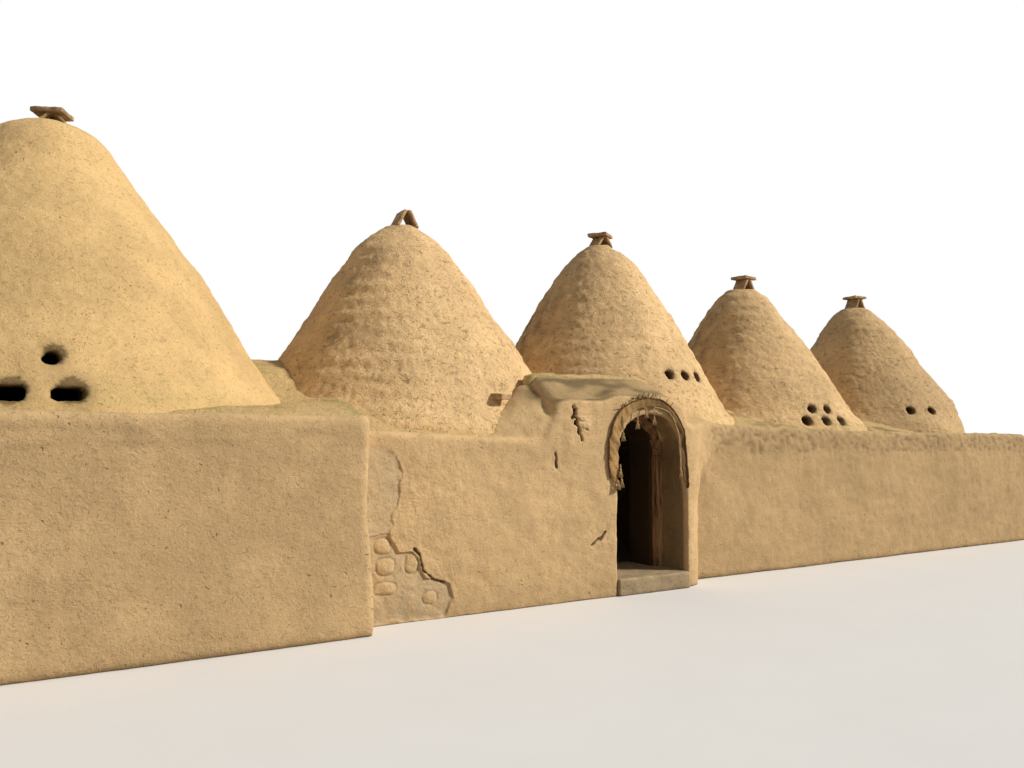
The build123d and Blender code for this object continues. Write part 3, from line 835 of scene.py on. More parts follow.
def near_damage(middles, margin):
    """Whether each place on the front of the raised doorway lies near damaged plaster."""
    x, y, z = middles.T
    near = np.zeros(len(middles), dtype=bool)
    for left, right, low, high in DAMAGED_PLACES:
        near |= (x > left - margin) & (x < right + margin) & (z > low - margin) & (z < high + margin)
    return near & (y < PORCH_FACE + 0.06)


def behind_arch(points):
    """Whether each point lies in the dark mouth of the room, behind the arch of the doorway."""
    x, y, z = points.T
    return (y > -1.97) & (y < -1.2) & (x > LEFT_JAMB) & (x < RIGHT_JAMB - 0.10) & (z < 2.13)


def stain_ledges(surface):
    """Green and dark streaks on the wall tops and over the doorway."""
    points = surface.points
    x, y, z = points.T
    level = step_up(surface.normals[:, 2], 0.45, 0.85)
    moss = 0.3 + 0.7 * step_up(rough_value(points, 0.5, 3), -0.2, 0.4)
    over_door = level * step_up(z, 2.14, 2.24) * hump(x, -1.85, -1.60, 0.35, 0.75)
    streak = rough_value(points * (0.45, 1.0, 1.0), 0.16, 14)
    surface.green = np.maximum(
        0.35 * level * step_up(z, 1.7, 1.85) * moss, over_door * (0.30 + 0.3 * streak))
    surface.darken(over_door * (0.36 + 0.36 * step_up(streak, -0.05, 0.40)))
    stain = rough_value(points * (2.2, 1.0, 0.7), 0.30, 15)
    raised = step_up(z, 1.75, 2.05) * hump(x, -1.70, -1.50, -0.80, -0.60)
    surface.darken(0.22 * raised * step_up(stain, 0.05, 0.45))


def damage_plaster(surface):
    """Let plaster fall left of the doorway, and open the cracks and holes."""
    points = surface.points
    flat = points[:, [0, 2]]
    front = (points[:, 1] < PORCH_FACE + 0.10) & (surface.normals[:, 1] < -0.5)
    wobble = rough_value(points, 0.11, 4)
    fine = rough_value(points, 0.045, 6)
    fallen = step_up(depth_inside(flat, FALLEN_PLASTER) + 0.03 * wobble, -0.006, 0.014) * front
    in_repair = depth_inside(flat, REPAIRED_PLASTER)
    repaired = step_up(in_repair + 0.05 * wobble, -0.02, 0.03) * front
    still_open = fallen * (1.0 - repaired)

    # The fallen part lies back, the repair has a thin rim
    inward = np.where(repaired > 0.5, 0.010, fallen * (0.022 + 0.005 * wobble))
    inward -= 0.003 * np.exp(-((in_repair / 0.022) ** 2)) * front
    bare = np.maximum(0.78 * fallen * (0.75 + 0.25 * wobble), 0.62 * repaired)

    # Stones stand out between sunk dark joints
    reach = swell_of(flat, WALL_STONES, 0.10 * wobble + 0.05 * fine)
    swell = (1.0 - np.clip(reach, 0.0, 1.0) ** 3) * still_open
    joint = np.exp(-(((reach - 1.08) / 0.10) ** 2)) * still_open
    inward += 0.007 * joint - (0.013 + 0.006 * wobble) * swell
    surface.darken((0.22 + 0.12 * wobble) * joint)
    bare = np.where(swell > 0.15, 0.10 + 0.3 * np.abs(wobble), bare)

    # Cracks and holes go in, darkened with painted shade, bare bricks stand out
    for line, width, depth in WALL_CRACKS:
        away = np.maximum(distance_to_line(flat, line) + 0.008 * wobble + 0.010 * fine, 0.0)
        opening = np.exp(-((away / width) ** 2)) * front
        inward += depth * opening
        surface.darken(0.85 * step_up(opening, 0.10, 0.50))
    hole = step_down(swell_of(flat, CRACK_HOLES, 0.35 * fine), 0.75, 1.15) * front
    surface.darken(0.92 * step_up(hole, 0.1, 0.5))
    brick = step_down(swell_of(flat, CRACK_BRICKS, 0.10 * fine), 0.85, 1.05) * front
    surface.bare = np.maximum(bare, 0.5 * brick)
    points[:, 1] += (inward + 0.055 * hole - 0.010 * brick) * front


def bend_pier(surface):
    """Shift the foot and the jamb of the right pier towards the doorway."""
    x, y, z = surface.points.T
    x -= 0.09 * hump(x, 0.40, 0.58, 0.64, 0.90) * (y < -1.95) * step_down(z, 1.0, 1.3)
    jamb = hump(x, 0.05, 0.30, 0.45, 0.85) * hump(z, 1.0, 1.5, 2.05, 2.35)
    x -= 0.055 * jamb * step_down(y, -2.30, -1.95)


def shade_and_stain_walls(surface):
    """Pit the top of the right wall, darken the walls at both ends and at the damp foot, and paint
    shade, with some soot, in the rooms and the doorway.
    """
    points = surface.points
    x, y, z = points.T
    facing = surface.normals[:, 1] < -0.3
    outside = surface.normals[:, 1] < 0.3
    # The walls right of the doorway and at the left end are darker
    surface.darken(0.17 * step_up(x, 0.6, 1.0) * outside)
    surface.darken(0.12 * step_down(x, -4.0, -3.8) * outside)

    # Pits top right of the doorway, darkened with painted shade, and streaks under the first wall top
    clods = rough_value(points * (1.0, 1.0, 1.5), 0.085, 8)
    pitted = step_up(x, 0.75, 1.1) * hump(z, 1.52, 1.68, 1.95, 2.08) * facing
    y += pitted * 0.016 * clods
    surface.darken(pitted * (0.24 + 0.26 * step_up(clods, 0.1, 0.5)))
    streak = rough_value(points * (0.35, 1.0, 2.2), 0.22, 12)
    streaked = step_down(x, -4.2, -3.9) * facing * step_up(z, 1.5, 1.9)
    surface.darken(0.30 * streaked * step_up(streak, -0.05, 0.45))

    # Painted shade with some soot in the rooms, painted shade in the doorway, damp at the wall foot
    rooms = (np.abs(points) < ROOMS).all(axis=1)
    surface.darken(0.72 * rooms)
    surface.darken(MOUTH_PAINTED_SHADE * behind_arch(points))
    reveal = (y > -2.34) & (y < -1.5) & (x > LEFT_JAMB) & (x < RIGHT_JAMB) & (z < 2.2)
    mottle = rough_value(points, 0.07, 16)
    surface.darken(reveal * (0.58 - (0.16 - 0.14 * mottle) * step_up(z, 1.55, 1.90)))
    surface.darken(0.14 * step_down(z + 0.12 * rough_value(points, 0.35, 2), 0.05, 0.42))


def wear_and_shade_walls(piece):
    """Shift the wall tops, damage and bend the raised doorway, stain the walls and paint shade on
    them.
    """
    with_doorway = piece.name == "right_walls"
    if with_doorway:
        # Fewer faces where the front doesn't show, more of them near the damage
        x, y, z = points_of(piece.data).T
        thin(piece, (y > -1.9) & ((np.abs(x + 0.1) >= 1.0) | (z >= 2.45)), 0.42)
        for margin in (0.10, 0.05):
            refine_damage(piece.data, margin)
    surface = Surface(piece)
    x, y, z = surface.points.T
    z += ledge_shift(surface.points) + porch_slope(surface.points)
    lean = step_up(z, 0.1, 1.3) * hump(x, -4.25, -3.95, -3.80, -3.50) * (y < -1.8)
    stain_ledges(surface)
    if with_doorway:
        damage_plaster(surface)
        bend_pier(surface)
    shade_and_stain_walls(surface)
    band_middle = (np.array(BAND_OUTER) + np.array(BAND_INNER)) / 2
    from_band = distance_to_line(surface.points[:, [0, 2]], band_middle)
    surface.calm = 0.85 * step_down(from_band, 0.10, 0.28) * (y < PORCH_FACE + 0.08)
    x -= 0.085 * lean
    surface.keep()


def wear_and_shade_dome(piece, k):
    """Fit the outline of a dome, spread its foot over the roof, stain it and paint shade on it."""
    if k == 0:
        thin(piece, points_of(piece.data)[:, 1] > 0.2, 0.72)
    surface = Surface(piece)
    points = surface.points
    z = points[:, 2]
    away = points[:, :2] - (AXES[k], 0.0)
    radius = np.maximum(np.hypot(away[:, 0], away[:, 1]), 1e-6)
    outward = away / radius[:, None]
    outside = (surface.normals[:, :2] * outward).sum(axis=1) > 0.15

    # The foot spreads, and the outlines to the right and left follow their profiles
    shift = FOOT_SPREAD * step_down(z, EAVES[k], EAVES[k] + 0.36)
    across = outward @ ACROSS_PHOTO
    for side, profiles in ((1.0, RIGHT_PROFILES), (-1.0, LEFT_PROFILES)):
        heights, moves = zip(*profiles[k])
        shift = shift + np.interp(z, heights, moves) * step_up(side * across, 0.35, 0.85)
    points[:, :2] += (shift * outside)[:, None] * outward
    z -= 0.11 * step_down(z, 1.80, 1.96) * (radius > radius.max() - 0.45)

    # Soot round the air holes, painted shade in them, on the left flanks and inside, and patches
    angle = np.degrees(np.arctan2(away[:, 0], -away[:, 1]))
    for dome, bearing, height, half_width in AIR_HOLES:
        if dome == k:
            sideways = np.radians(angle - bearing) * radius
            reach = np.hypot(sideways - 0.25 * half_width, z - height - 0.03)
            surface.darken(0.55 * np.exp(-((reach / (1.15 * half_width)) ** 2)))
            # Painted shade in the air hole itself
            surface.darken(0.75 * (reach < half_width * 0.9))
    blot = rough_value(points * (1.0, 1.0, 0.6), 0.16, 30 + k)
    for dome, bearing, height, size, share in FLANK_SHADE_AND_DAMP:
        if dome == k:
            sideways = np.radians(angle - bearing) * radius
            reach = np.hypot(sideways, 0.7 * (z - height))
            surface.darken(share * np.exp(-((reach / size) ** 2)) * (1.0 + 0.8 * blot))
    # Painted shade inside the dome, partly soot
    surface.darken(0.70 * (~outside & (z < TOPS[k] - 0.05)))
    # Painted shade in the mouth of the room behind the doorway
    surface.darken(MOUTH_PAINTED_SHADE * behind_arch(points))
    patch = rough_value(points, 0.9, 20 + k)
    surface.darken(0.07 * step_up(patch, 0.05, 0.5) + FAR_SHADES[k])
    surface.green = 0.30 * step_down(z + 0.25 * patch, EAVES[k], EAVES[k] + 0.26) * outside
    surface.calm = 0.6 * (z > TOPS[k] - 0.02) * (radius < 0.24)
    surface.keep()


def wear_and_shade_earth(piece):
    """Let the roof earth sag between the first domes, darken it with dark earth and painted shade,
    and shift it as the walls.
    """
    surface = Surface(piece)
    points = surface.points
    x, y, z = points.T
    left = x < -3.0
    z -= 0.07 * step_up(z, 2.20, 2.60) * left
    dish = step_down(np.hypot(x - AXES[0], y) - 2.35, 0.0, 1.30) * step_up(-y, 0.35, 1.2) * left
    z -= 0.24 * dish * step_up(z, 2.05, 2.45)
    # Darker streaks over the far valleys: dark earth, and painted shade among the clods
    streak = rough_value(points * (0.7, 1.0, 1.4), 0.17, 17)
    surface.darken(0.34 * step_up(streak, -0.1, 0.4) * step_up(x, 0.8, 2.0))
    # Painted shade in the mouth of the room behind the doorway
    surface.darken(MOUTH_PAINTED_SHADE * behind_arch(points))
    z += ledge_shift(points) + porch_slope(points)
    surface.keep()


def keep_above_ground(piece):
    """Hold a piece at or above the ground, flat where it stands."""
    points = points_of(piece.data)
    points[:, 2] = np.maximum(points[:, 2], 0.0)
    set_points(piece.data, points)


def finish_piece(piece, finish, nodes=()):
    """Smooth shading, finish, and the piece's place in the frame."""
    mesh = piece.data
    mesh.shade_smooth()
    if not mesh.materials:
        mesh.materials.append(finish)
    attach(piece, "root")
    if nodes:
        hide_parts(*nodes)
    return piece


def skin(name, nodes, spacing, finish, seed, waves, clods, grain, courses=(0.0, 0.19),
         lift=0.0, stretch=(1.0, 1.0, 1.0), wear=None, soften=1, heaps=()):
    """A worn surface that stands for one or more nodes of the frame. Waves, clods, grain and
    courses are each a height and a size, soften is how often the mesh is smoothed."""
    mesh = copy_of_nodes(name, nodes)
    for corners in heaps:
        shape = opened(mesh)
        bmesh.ops.convex_hull(shape, input=[shape.verts.new(corner) for corner in corners])
        put_back(shape, mesh)
    piece = make_piece(name, mesh)
    even_mesh(piece, spacing)
    smoothed(piece, soften)
    if wear:
        wear(piece)
    values = {"Lift": lift, "Stretch": stretch, "Seed": seed, "Finish": finish}
    for what, relief in (("Wave", waves), ("Clod", clods), ("Grain", grain), ("Course", courses)):
        values[f"{what} height"], values[f"{what} size"] = relief
    grow(piece, bpy.data.node_groups.get("plaster_relief") or relief_tree(), values)
    keep_above_ground(piece)
    return finish_piece(piece, finish, nodes)


class HOUSE_OT_walls(bpy.types.Operator):
    """Plastered walls, with the raised doorway, cracks and fallen plaster"""

    bl_idname = "house.walls"
    bl_label = "Walls"

    def execute(self, context):
        sizes = context.scene.house_sizes
        mud = plaster_finish("mud_plaster", 0.30)
        skin(
            "left_walls", ("end_wall_left", "front_wall_1", "back_wall_1"), sizes.wall_mesh, mud,
            seed=3, waves=(sizes.wave_height, 1.1), clods=(0.008, 0.16),
            grain=(0.003, 0.06), wear=wear_and_shade_walls,
        )
        skin(
            "right_walls",
            ("facing_wall", "porch_left_pier", "porch_right_pier", "porch_arch", "front_wall_2",
             "front_wall_3", "front_wall_4", "front_wall_5", "back_wall_2", "back_wall_3",
             "end_wall_right"),
            sizes.wall_mesh, mud, seed=5, waves=(sizes.wave_height, 0.9),
            clods=(0.012, 0.13), grain=(0.004, 0.06), wear=wear_and_shade_walls, heaps=PORCH_HEAPS,
        )
        stone = corner_stone_finish()
        for finish, nodes in ((mud, [f"cross_wall_{k}" for k in range(1, 5)]),
                              (stone, [f"corner_slabs_{k}" for k in range(1, 6)])):
            for node in nodes:
                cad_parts[node].data.materials.clear()
                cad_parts[node].data.materials.append(finish)
        return {"FINISHED"}


class HOUSE_OT_domes(bpy.types.Operator):
    """Five beehive domes with their smoke holes and air holes"""

    bl_idname = "house.domes"
    bl_label = "Domes"

    def execute(self, context):
        sizes = context.scene.house_sizes
        skin(
            "beehive_dome_1", ("dome_1",), sizes.dome_mesh,
            plaster_finish("dome_plaster_fresh", 0.40, 0.90), seed=11,
            waves=(1.2 * sizes.wave_height, 1.0), clods=(0.6 * sizes.clod_height, 0.11),
            courses=(0.003, 0.19), grain=(0.004, 0.055), wear=lambda piece: wear_and_shade_dome(piece, 0),
        )
        weathered = plaster_finish("dome_plaster", 1.0)
        for k in range(1, 5):
            skin(
                f"beehive_dome_{k + 1}", (f"dome_{k + 1}",), sizes.dome_mesh, weathered,
                seed=11 + k, waves=(1.2 * sizes.wave_height, 0.8),
                clods=(sizes.clod_height, 0.085), courses=(0.006, 0.19), grain=(0.004, 0.055),
                wear=lambda piece, k=k: wear_and_shade_dome(piece, k),
            )
        return {"FINISHED"}


def set_brick(centre, size, turn, lean, finish):
    """A rough brick whose end stands out of a dome."""
    rounding = 0.008
    shape = bmesh.new()
    bmesh.ops.create_cube(shape, size=1.0, matrix=Matrix.Diagonal((*size, 1.0)))
    bmesh.ops.subdivide_edges(shape, edges=shape.edges[:], cuts=11, use_grid_fill=True)
    place = Matrix.Rotation(turn, 4, "Z") @ Matrix.Rotation(lean, 4, "X")
    for point in shape.verts:
        inset = Vector([min(abs(part), 0.5 * side - rounding) * math.copysign(1.0, part)
                        for part, side in zip(point.co, size)])
        away = point.co - inset
        point.co = inset + away.normalized() * min(away.length, rounding)
        point.co *= 1.0 + 0.06 * noise.noise(point.co * 22.0)
        point.co = centre + place @ point.co
    return finish_piece(
        make_piece("set_brick", mesh_of(shape, "set_brick")), finish)


class HOUSE_OT_roof(bpy.types.Operator):
    """Roof earth between the domes"""

    bl_idname = "house.roof"
    bl_label = "Roof earth"

    def execute(self, context):
        spacing = context.scene.house_sizes.earth_mesh
        soil = earth_finish()
        pairs = {f"roof_earth_{k}": f"valley_fill_{k}" for k in range(1, 5)}
        pairs["roof_earth_ends"] = "roof_ends"
        for number, (name, node) in enumerate(pairs.items()):
            skin(name, (node,), spacing, soil, seed=31 + number, waves=(0.030, 0.5),
                 clods=(0.022, 0.14), grain=(0.005, 0.06), lift=0.014, wear=wear_and_shade_earth)
        return {"FINISHED"}


class HOUSE_OT_caps(bpy.types.Operator):
    """Leaning slabs over the smoke holes, and the flat slabs on them"""

    bl_idname = "house.caps"
    bl_label = "Smoke hole slabs"

    def execute(self, context):
        spacing = context.scene.house_sizes.slab_mesh
        clay = slab_finish()
        for k in range(1, 6):
            skin(f"leaning_slabs_{k}", (f"smoke_slabs_{k}",), spacing, clay,
                 seed=41 + k, waves=(0.010, 0.16), clods=(0.006, 0.045), grain=(0.0015, 0.02),
                 soften=2)
        skin("flat_slabs", ("smoke_lids",), spacing, clay, seed=51,
             waves=(0.012, 0.18), clods=(0.008, 0.05), grain=(0.0015, 0.02), soften=2)
        set_brick(Vector((-2.035, -1.93, 2.300)), (0.15, 0.22, 0.065), math.radians(11.0), 0.06, clay)
        return {"FINISHED"}


class HOUSE_OT_door(bpy.types.Operator):
    """Timber frame and sill of the doorway"""

    bl_idname = "house.door"
    bl_label = "Door frame"

    def execute(self, context):
        right_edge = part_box("door_frame_posts")[1][0]
        post_wood = timber_finish("door_wood", (34.0, 34.0, 2.6), right_edge - 0.012)
        arch_wood = timber_finish("arch_wood", (11.0, 34.0, 11.0))
        skin("frame_posts", ("door_frame_posts",), POST_MESH, post_wood, seed=61,
             waves=(0.009, 0.30), clods=(0.002, 0.5), grain=(0.0045, 0.5),
             stretch=(22.0, 22.0, 1.4))
        skin("frame_arch", ("door_frame_arch",), ARCH_MESH, arch_wood, seed=62,
             waves=(0.008, 0.25), clods=(0.006, 0.07), grain=(0.002, 0.02), soften=2)
        skin("worn_sill", ("door_sill",), SILL_MESH, sill_finish(), seed=63,
             waves=(0.010, 0.35), clods=(0.006, 0.09), grain=(0.002, 0.04), soften=2)
        return {"FINISHED"}


def runs_of(line):
    """Distance along a line from its start to each of its points."""
    return np.concatenate([[0.0], np.cumsum(np.linalg.norm(np.diff(line, axis=0), axis=1))])


def even_line(corners, count):
    """Points at even steps along a line of several runs, its corners rounded."""
    line = np.array(corners, dtype=float)
    for _ in range(3):
        cut = np.empty((2 * len(line), line.shape[1]))
        cut[0], cut[-1] = line[0], line[-1]
        cut[1:-1:2] = 0.75 * line[:-1] + 0.25 * line[1:]
        cut[2:-1:2] = 0.25 * line[:-1] + 0.75 * line[1:]
        line = cut
    runs = runs_of(line)
    places = np.linspace(0.0, runs[-1], count)
    return np.stack([np.interp(places, runs, line[:, axis]) for axis in range(line.shape[1])], 1)


def join_rings(shape, rings):
    """Close a row of rings of points to a tube with flat ends."""
    sides = len(rings[0])
    for low, high in zip(rings, rings[1:]):
        for n in range(sides):
            m = (n + 1) % sides
            shape.faces.new((low[n], low[m], high[m], high[n]))
    shape.faces.new(rings[0][::-1])
    shape.faces.new(rings[-1])


def tube(shape, path, radius, sides):
    """Closed tube along a short path, tapering a little."""
    rings = []
    for i, point in enumerate(path):
        ahead = path[min(i + 1, len(path) - 1)] - path[max(i - 1, 0)]
        turn = ahead.to_track_quat("Z", "Y").to_matrix()
        size = radius * (1.0 - 0.25 * i / (len(path) - 1))
        rings.append([
            shape.verts.new(point + turn @ Vector((size * math.cos(a), size * math.sin(a), 0.0)))
            for a in (math.tau * n / sides for n in range(sides))
        ])
    join_rings(shape, rings)


def tube_run(shape, path, radius, sides):
    """Closed tube of one width along a long path that lies in an upright plane."""
    rings = []
    for i, point in enumerate(path):
        ahead, side = heading(path, i)
        up = side.cross(ahead)
        rings.append([
            shape.verts.new(point + radius * (math.cos(a) * side + math.sin(a) * up))
            for a in (math.tau * n / sides for n in range(sides))
        ])
    join_rings(shape, rings)
    bmesh.ops.recalc_face_normals(shape, faces=shape.faces)


def heading(path, i):
    """Direction of a path at one of its points, and the direction across it."""
    ahead = (path[min(i + 1, len(path) - 1)] - path[max(i - 1, 0)]).normalized()
    return ahead, ahead.cross(Vector((0.0, 1.0, 0.0))).normalized()


def bead(shape, centre, radius):
    """Small knot."""
    made = bmesh.ops.create_icosphere(shape, subdivisions=2, radius=radius)
    for point in made["verts"]:
        point.co = point.co * (1.0 + 0.25 * noise.noise(point.co * 160.0)) + centre


def rope(name, path, radius, finish):
    """Two-strand cord along a path."""
    shape = bmesh.new()
    for strand in (0.0, math.pi):
        line = []
        run = 0.0
        for i, point in enumerate(path):
            side = heading(path, i)[1]
            run += (point - path[i - 1]).length if i else 0.0
            turn = strand + run * 95.0
            line.append(point + 0.42 * radius * (math.cos(turn) * side
                                                 + math.sin(turn) * Vector((0.0, 1.0, 0.0))))
        tube_run(shape, line, 0.62 * radius, 7)
    return finish_piece(make_piece(name, mesh_of(shape, name)), finish)


def wall_depth(surface, x, z):
    """Where the plaster round the doorway lies at a place seen from the front."""
    hit = surface.ray_cast(Vector((x, -3.2, z)), Vector((0.0, 1.0, 0.0)), 1.0)[0]
    return hit.y if hit and hit.y < PORCH_FACE + 0.07 else PORCH_FACE + 0.020


def band_grid(wall, inner, outer, run):
    """Points along and across the band, hung before the wall in soft folds."""
    surface = BVHTree.FromPolygons(
        [point.co for point in wall.data.vertices],
        [face.vertices[:] for face in wall.data.polygons],
    )
    grid = np.empty((len(run), BAND_COLUMNS + 1, 3))
    fold = np.empty(grid.shape[:2])
    for i, along in enumerate(run):
        scallop = 0.017 * abs(math.sin(along * 19.0)) + 0.010 * noise.noise((along * 9.0, 0.0, 3.0))
        fray = 0.010 * noise.noise((along * 11.0, 5.0, 1.0))
        outward = (outer[i] - inner[i]) / np.linalg.norm(outer[i] - inner[i])
        for j in range(BAND_COLUMNS + 1):
            share = j / BAND_COLUMNS
            ragged = (1.0 - share) ** 2 * scallop + share**2 * fray
            x, z = inner[i] + share * (outer[i] - inner[i]) + ragged * outward
            grid[i, j] = (x, wall_depth(surface, x, z), z)
            across = noise.noise((along * 5.0, share * 1.6, 7.0))
            pleat = noise.noise((along * 17.0, share * 0.8, 2.0))
            belly = 0.008 * math.sin(share * math.pi) + 0.012 * (1.0 - share) ** 3
            fold[i, j] = 0.022 + 0.015 * across + 0.012 * pleat + belly
    depths = grid[:, :, 1]
    for _ in range(8):
        depths[1:-1] = (depths[:-2] + 2 * depths[1:-1] + depths[2:]) / 4
        depths[:, 1:-1] = (depths[:, :-2] + 2 * depths[:, 1:-1] + depths[:, 2:]) / 4
    depths -= fold
    return grid


def band_mesh(name, grid, width, length_along):
    """Faces over the grid of the band, with a flat map of its true width and length."""
    shape = bmesh.new()
    flat_map = shape.loops.layers.uv.new("weave")
    points = [[shape.verts.new(place) for place in line] for line in grid]
    for i in range(BAND_ROWS):
        for j in range(BAND_COLUMNS):
            corners = ((i, j), (i + 1, j), (i + 1, j + 1), (i, j + 1))
            face = shape.faces.new([points[a][b] for a, b in corners])
            for loop, (a, b) in zip(face.loops, corners):
                loop[flat_map].uv = (a / BAND_ROWS * length_along, b / BAND_COLUMNS * width)
    bmesh.ops.recalc_face_normals(shape, faces=shape.faces)
    return mesh_of(shape, name)


def hang_tassels(grid):
    """Tassels, and a braid along part of the band's inner edge."""
    flat = grid[:, :, [0, 2]].reshape(-1, 2)
    depths = grid[:, :, 1].reshape(-1)

    def in_front(x, z):
        return float(depths[np.argmin(np.hypot(flat[:, 0] - x, flat[:, 1] - z))]) - 0.012

    dice = random.Random(7)
    shape = bmesh.new()
    for x, z, drop in TASSELS:
        top = Vector((x, in_front(x, z), z))
        knot = top + Vector((dice.uniform(-0.006, 0.006), -0.010, -drop))
        for side in (-0.003, 0.003):
            bend = top.lerp(knot, 0.5) + Vector((side * 2.5, -0.004, 0.0))
            tube(shape, [top + Vector((side, 0.0, 0.0)), bend, knot], 0.0042, 6)
        bead(shape, knot, 0.013)
        for n in range(44):
            turn = n / 44 * math.tau + dice.uniform(-0.2, 0.2)
            fan = dice.uniform(0.012, 0.036)
            fall = dice.uniform(0.070, 0.092)
            foot = knot + Vector((fan * math.cos(turn), 0.6 * fan * math.sin(turn), -fall))
            middle = knot.lerp(foot, 0.45) + Vector((0.005 * math.cos(turn), 0.0, 0.004))
            tube(shape, [knot, middle, foot], 0.0026, 4)
    path = [Vector((x, in_front(x, z) - 0.006, z)) for x, z in even_line(BRAID, 90)]
    for strand in range(3):
        line = []
        for i, point in enumerate(path):
            turn = strand * math.tau / 3 + i * 0.55
            line.append(point + Vector((0.0075 * math.cos(turn), 0.004 * math.sin(2 * turn), 0.0)))
        tube_run(shape, line, 0.0055, 6)
    yarn = yarn_finish("tassel_yarn", (0.62, 0.42, 0.205), 0.70, 1.15)
    return finish_piece(make_piece("tassels", mesh_of(shape, "tassels")), yarn)


def stick_straw():
    """Stubs of straw that stick out above the top of the band."""
    dice = random.Random(19)
    shape = bmesh.new()
    line = even_line(BAND_OUTER, 200)
    for _ in range(34):
        x, z = line[min(max(round(dice.gauss(88.0, 13.0)), 0), 199)]
        foot = Vector((x, PORCH_FACE + 0.01, z + dice.uniform(-0.012, 0.012)))
        lean = Vector((dice.uniform(-0.7, 0.4), dice.uniform(-0.9, -0.2), dice.uniform(0.5, 1.0)))
        tip = foot + lean.normalized() * dice.uniform(0.04, 0.115)
        middle = foot.lerp(tip, 0.5) + Vector((dice.uniform(-0.006, 0.006), 0.0, 0.0))
        tube(shape, [foot, middle, tip], dice.uniform(0.0035, 0.0070), 5)
    stalks = yarn_finish("straw_stubs", (0.42, 0.28, 0.13), 0.5, 1.4)
    return finish_piece(
        make_piece("straw_stubs", mesh_of(shape, "straw_stubs")), stalks)


class HOUSE_OT_band(bpy.types.Operator):
    """Woven band round the doorway, with its edge cord, braid, tassels and straw"""

    bl_idname = "house.band"
    bl_label = "Woven band"

    def execute(self, context):
        inner = even_line(BAND_INNER, BAND_ROWS + 1)
        outer = even_line(BAND_OUTER, BAND_ROWS + 1)
        run = runs_of((inner + outer) / 2)
        width = float(np.linalg.norm(outer - inner, axis=1).mean())
        grid = band_grid(bpy.data.objects["right_walls"], inner, outer, run)
        band = make_piece("woven_band", band_mesh("woven_band", grid, width, run[-1]))
        thick = band.modifiers.new("thickness", "SOLIDIFY")
        thick.thickness = context.scene.house_sizes.band_thickness
        thick.offset = 0.0
        settle(band)
        finish_piece(band, band_finish(), ("door_band",))
        edge = [Vector(place) - Vector((0.0, 0.006, 0.0)) for place in grid[:, -1]]
        cord = yarn_finish("edge_cord", (0.20, 0.105, 0.045), 0.6, 1.3)
        piping = rope("edge_cord", edge, 0.0115, cord)
        fringe = hang_tassels(grid)
        straw = stick_straw()
        return {"FINISHED"}


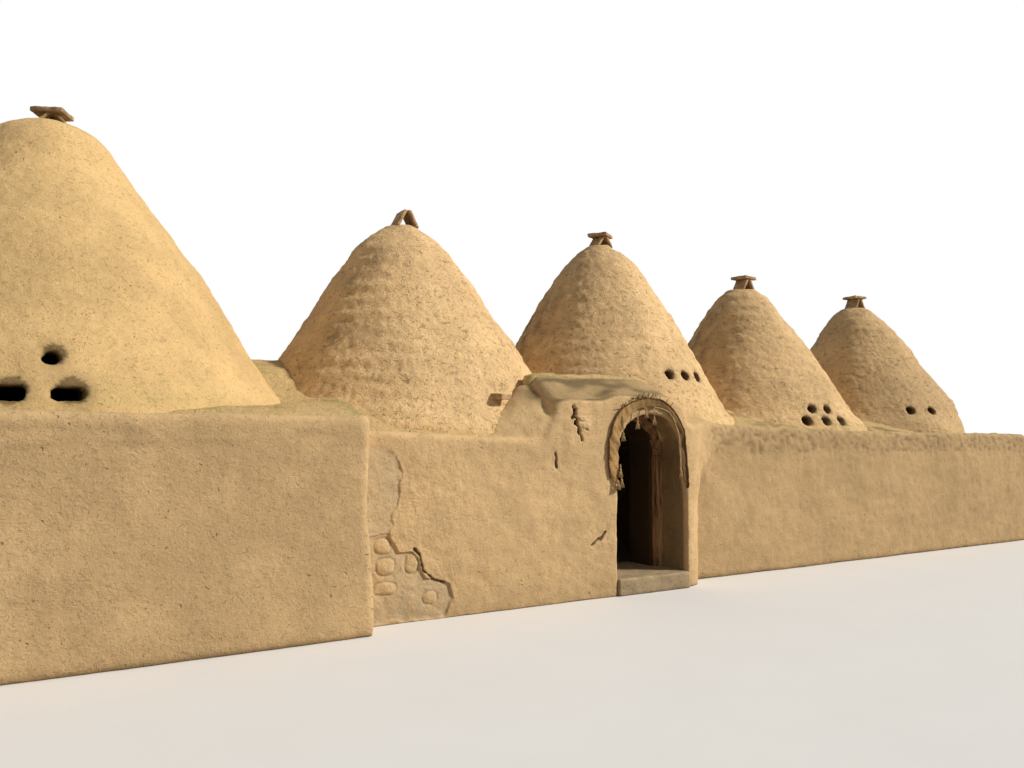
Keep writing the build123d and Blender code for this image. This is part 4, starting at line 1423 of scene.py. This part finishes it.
class HOUSE_OT_stage(bpy.types.Operator):
    """Camera, lights and a plain pale floor"""

    bl_idname = "house.stage"
    bl_label = "Stage"

    def execute(self, context):
        scene = context.scene
        scene.view_settings.view_transform = "Standard"
        lens = bpy.data.cameras.new("view")
        lens.sensor_width = 36.0
        lens.lens = FOCAL_PX / PICTURE_WIDTH_PX * lens.sensor_width
        lens.clip_end = 400.0
        yaw, pitch, roll = (math.radians(turn) for turn in CAMERA_TURN)
        ahead = Vector((math.cos(yaw) * math.cos(pitch), math.sin(yaw) * math.cos(pitch),
                        math.sin(pitch)))
        level = Vector((math.sin(yaw), -math.cos(yaw), 0.0))
        right = math.cos(roll) * level + math.sin(roll) * level.cross(ahead)
        up = right.cross(ahead)
        view = bpy.data.objects.new("view", lens)
        view.matrix_world = Matrix.Translation(CAMERA_PLACE) @ Matrix(
            (right, up, -ahead)).transposed().to_4x4()
        scene.collection.objects.link(view)
        scene.camera = view

        shape = bmesh.new()
        bmesh.ops.create_grid(shape, x_segments=1, y_segments=1, size=160.0)
        floor = make_piece("floor", mesh_of(shape, "floor"))
        pale = Finish("pale_floor")
        seen = pale.node("ShaderNodeLightPath")
        shown = pale.blend(pale.noise(pale.place, 1.2, 3.0), (0.76, 0.745, 0.72, 1.0),
                           (0.80, 0.785, 0.76, 1.0))
        pale.set("Base Color", pale.blend(seen, (0.33, 0.30, 0.27, 1.0), shown))
        pale.set("Roughness", 0.95)
        floor.data.materials.append(pale.material)

        # Low sun from the right
        key = bpy.data.lights.new("key", "SUN")
        key.energy = 3.60
        key.angle = math.radians(6.0)
        key.color = (1.0, 0.965, 0.905)
        key_light = bpy.data.objects.new("key", key)
        toward = Vector((0.68, -0.52, 0.57))
        key_light.rotation_euler = toward.to_track_quat("Z", "Y").to_euler()
        scene.collection.objects.link(key_light)

        # Soft light from all round, with plain white behind the house
        world = bpy.data.worlds.new("studio")
        world.use_nodes = True
        scene.world = world
        sky = Graph(world.node_tree)
        path = sky.node("ShaderNodeLightPath")
        seen = Wire(sky, path.socket.node.outputs["Is Camera Ray"])
        backdrop, soft = (
            sky.node("ShaderNodeBackground", None, {"Color": colour, "Strength": strength})
            for colour, strength in (((1.0, 1.0, 1.0, 1.0), 1.0), ((0.93, 0.96, 1.0, 1.0), 0.32)))
        both = sky.node("ShaderNodeMixShader", None, {0: seen, 1: soft, 2: backdrop})
        world.node_tree.links.new(both.socket, world.node_tree.nodes["World Output"].inputs[0])
        return {"FINISHED"}


class HOUSE_PT_panel(bpy.types.Panel):
    """Lists the steps that dress the house"""

    bl_label = "Beehive house row"
    bl_space_type = "VIEW_3D"
    bl_region_type = "UI"
    bl_category = "House"

    def draw(self, context):
        column = self.layout.column()
        for step in STEPS:
            column.operator(step.bl_idname)
        for group in (context.scene.house_sizes, context.scene.house_colours):
            for name in group.__annotations__:
                column.prop(group, name)


STEPS = (HOUSE_OT_stage, HOUSE_OT_walls, HOUSE_OT_domes, HOUSE_OT_roof, HOUSE_OT_caps, HOUSE_OT_door,
         HOUSE_OT_band)
CLASSES = (HouseSizes, HouseColours, *STEPS, HOUSE_PT_panel)


def register():
    for kind in CLASSES:
        bpy.utils.register_class(kind)
    bpy.types.Scene.house_sizes = bpy.props.PointerProperty(type=HouseSizes)
    bpy.types.Scene.house_colours = bpy.props.PointerProperty(type=HouseColours)


def unregister():
    del bpy.types.Scene.house_sizes
    del bpy.types.Scene.house_colours
    for kind in reversed(CLASSES):
        bpy.utils.unregister_class(kind)


def main():
    register()
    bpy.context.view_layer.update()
    bpy.ops.house.stage()
    bpy.ops.house.walls()
    bpy.ops.house.domes()
    bpy.ops.house.roof()
    bpy.ops.house.caps()
    bpy.ops.house.door()
    bpy.ops.house.band()


if __name__ == "__main__":
    main()
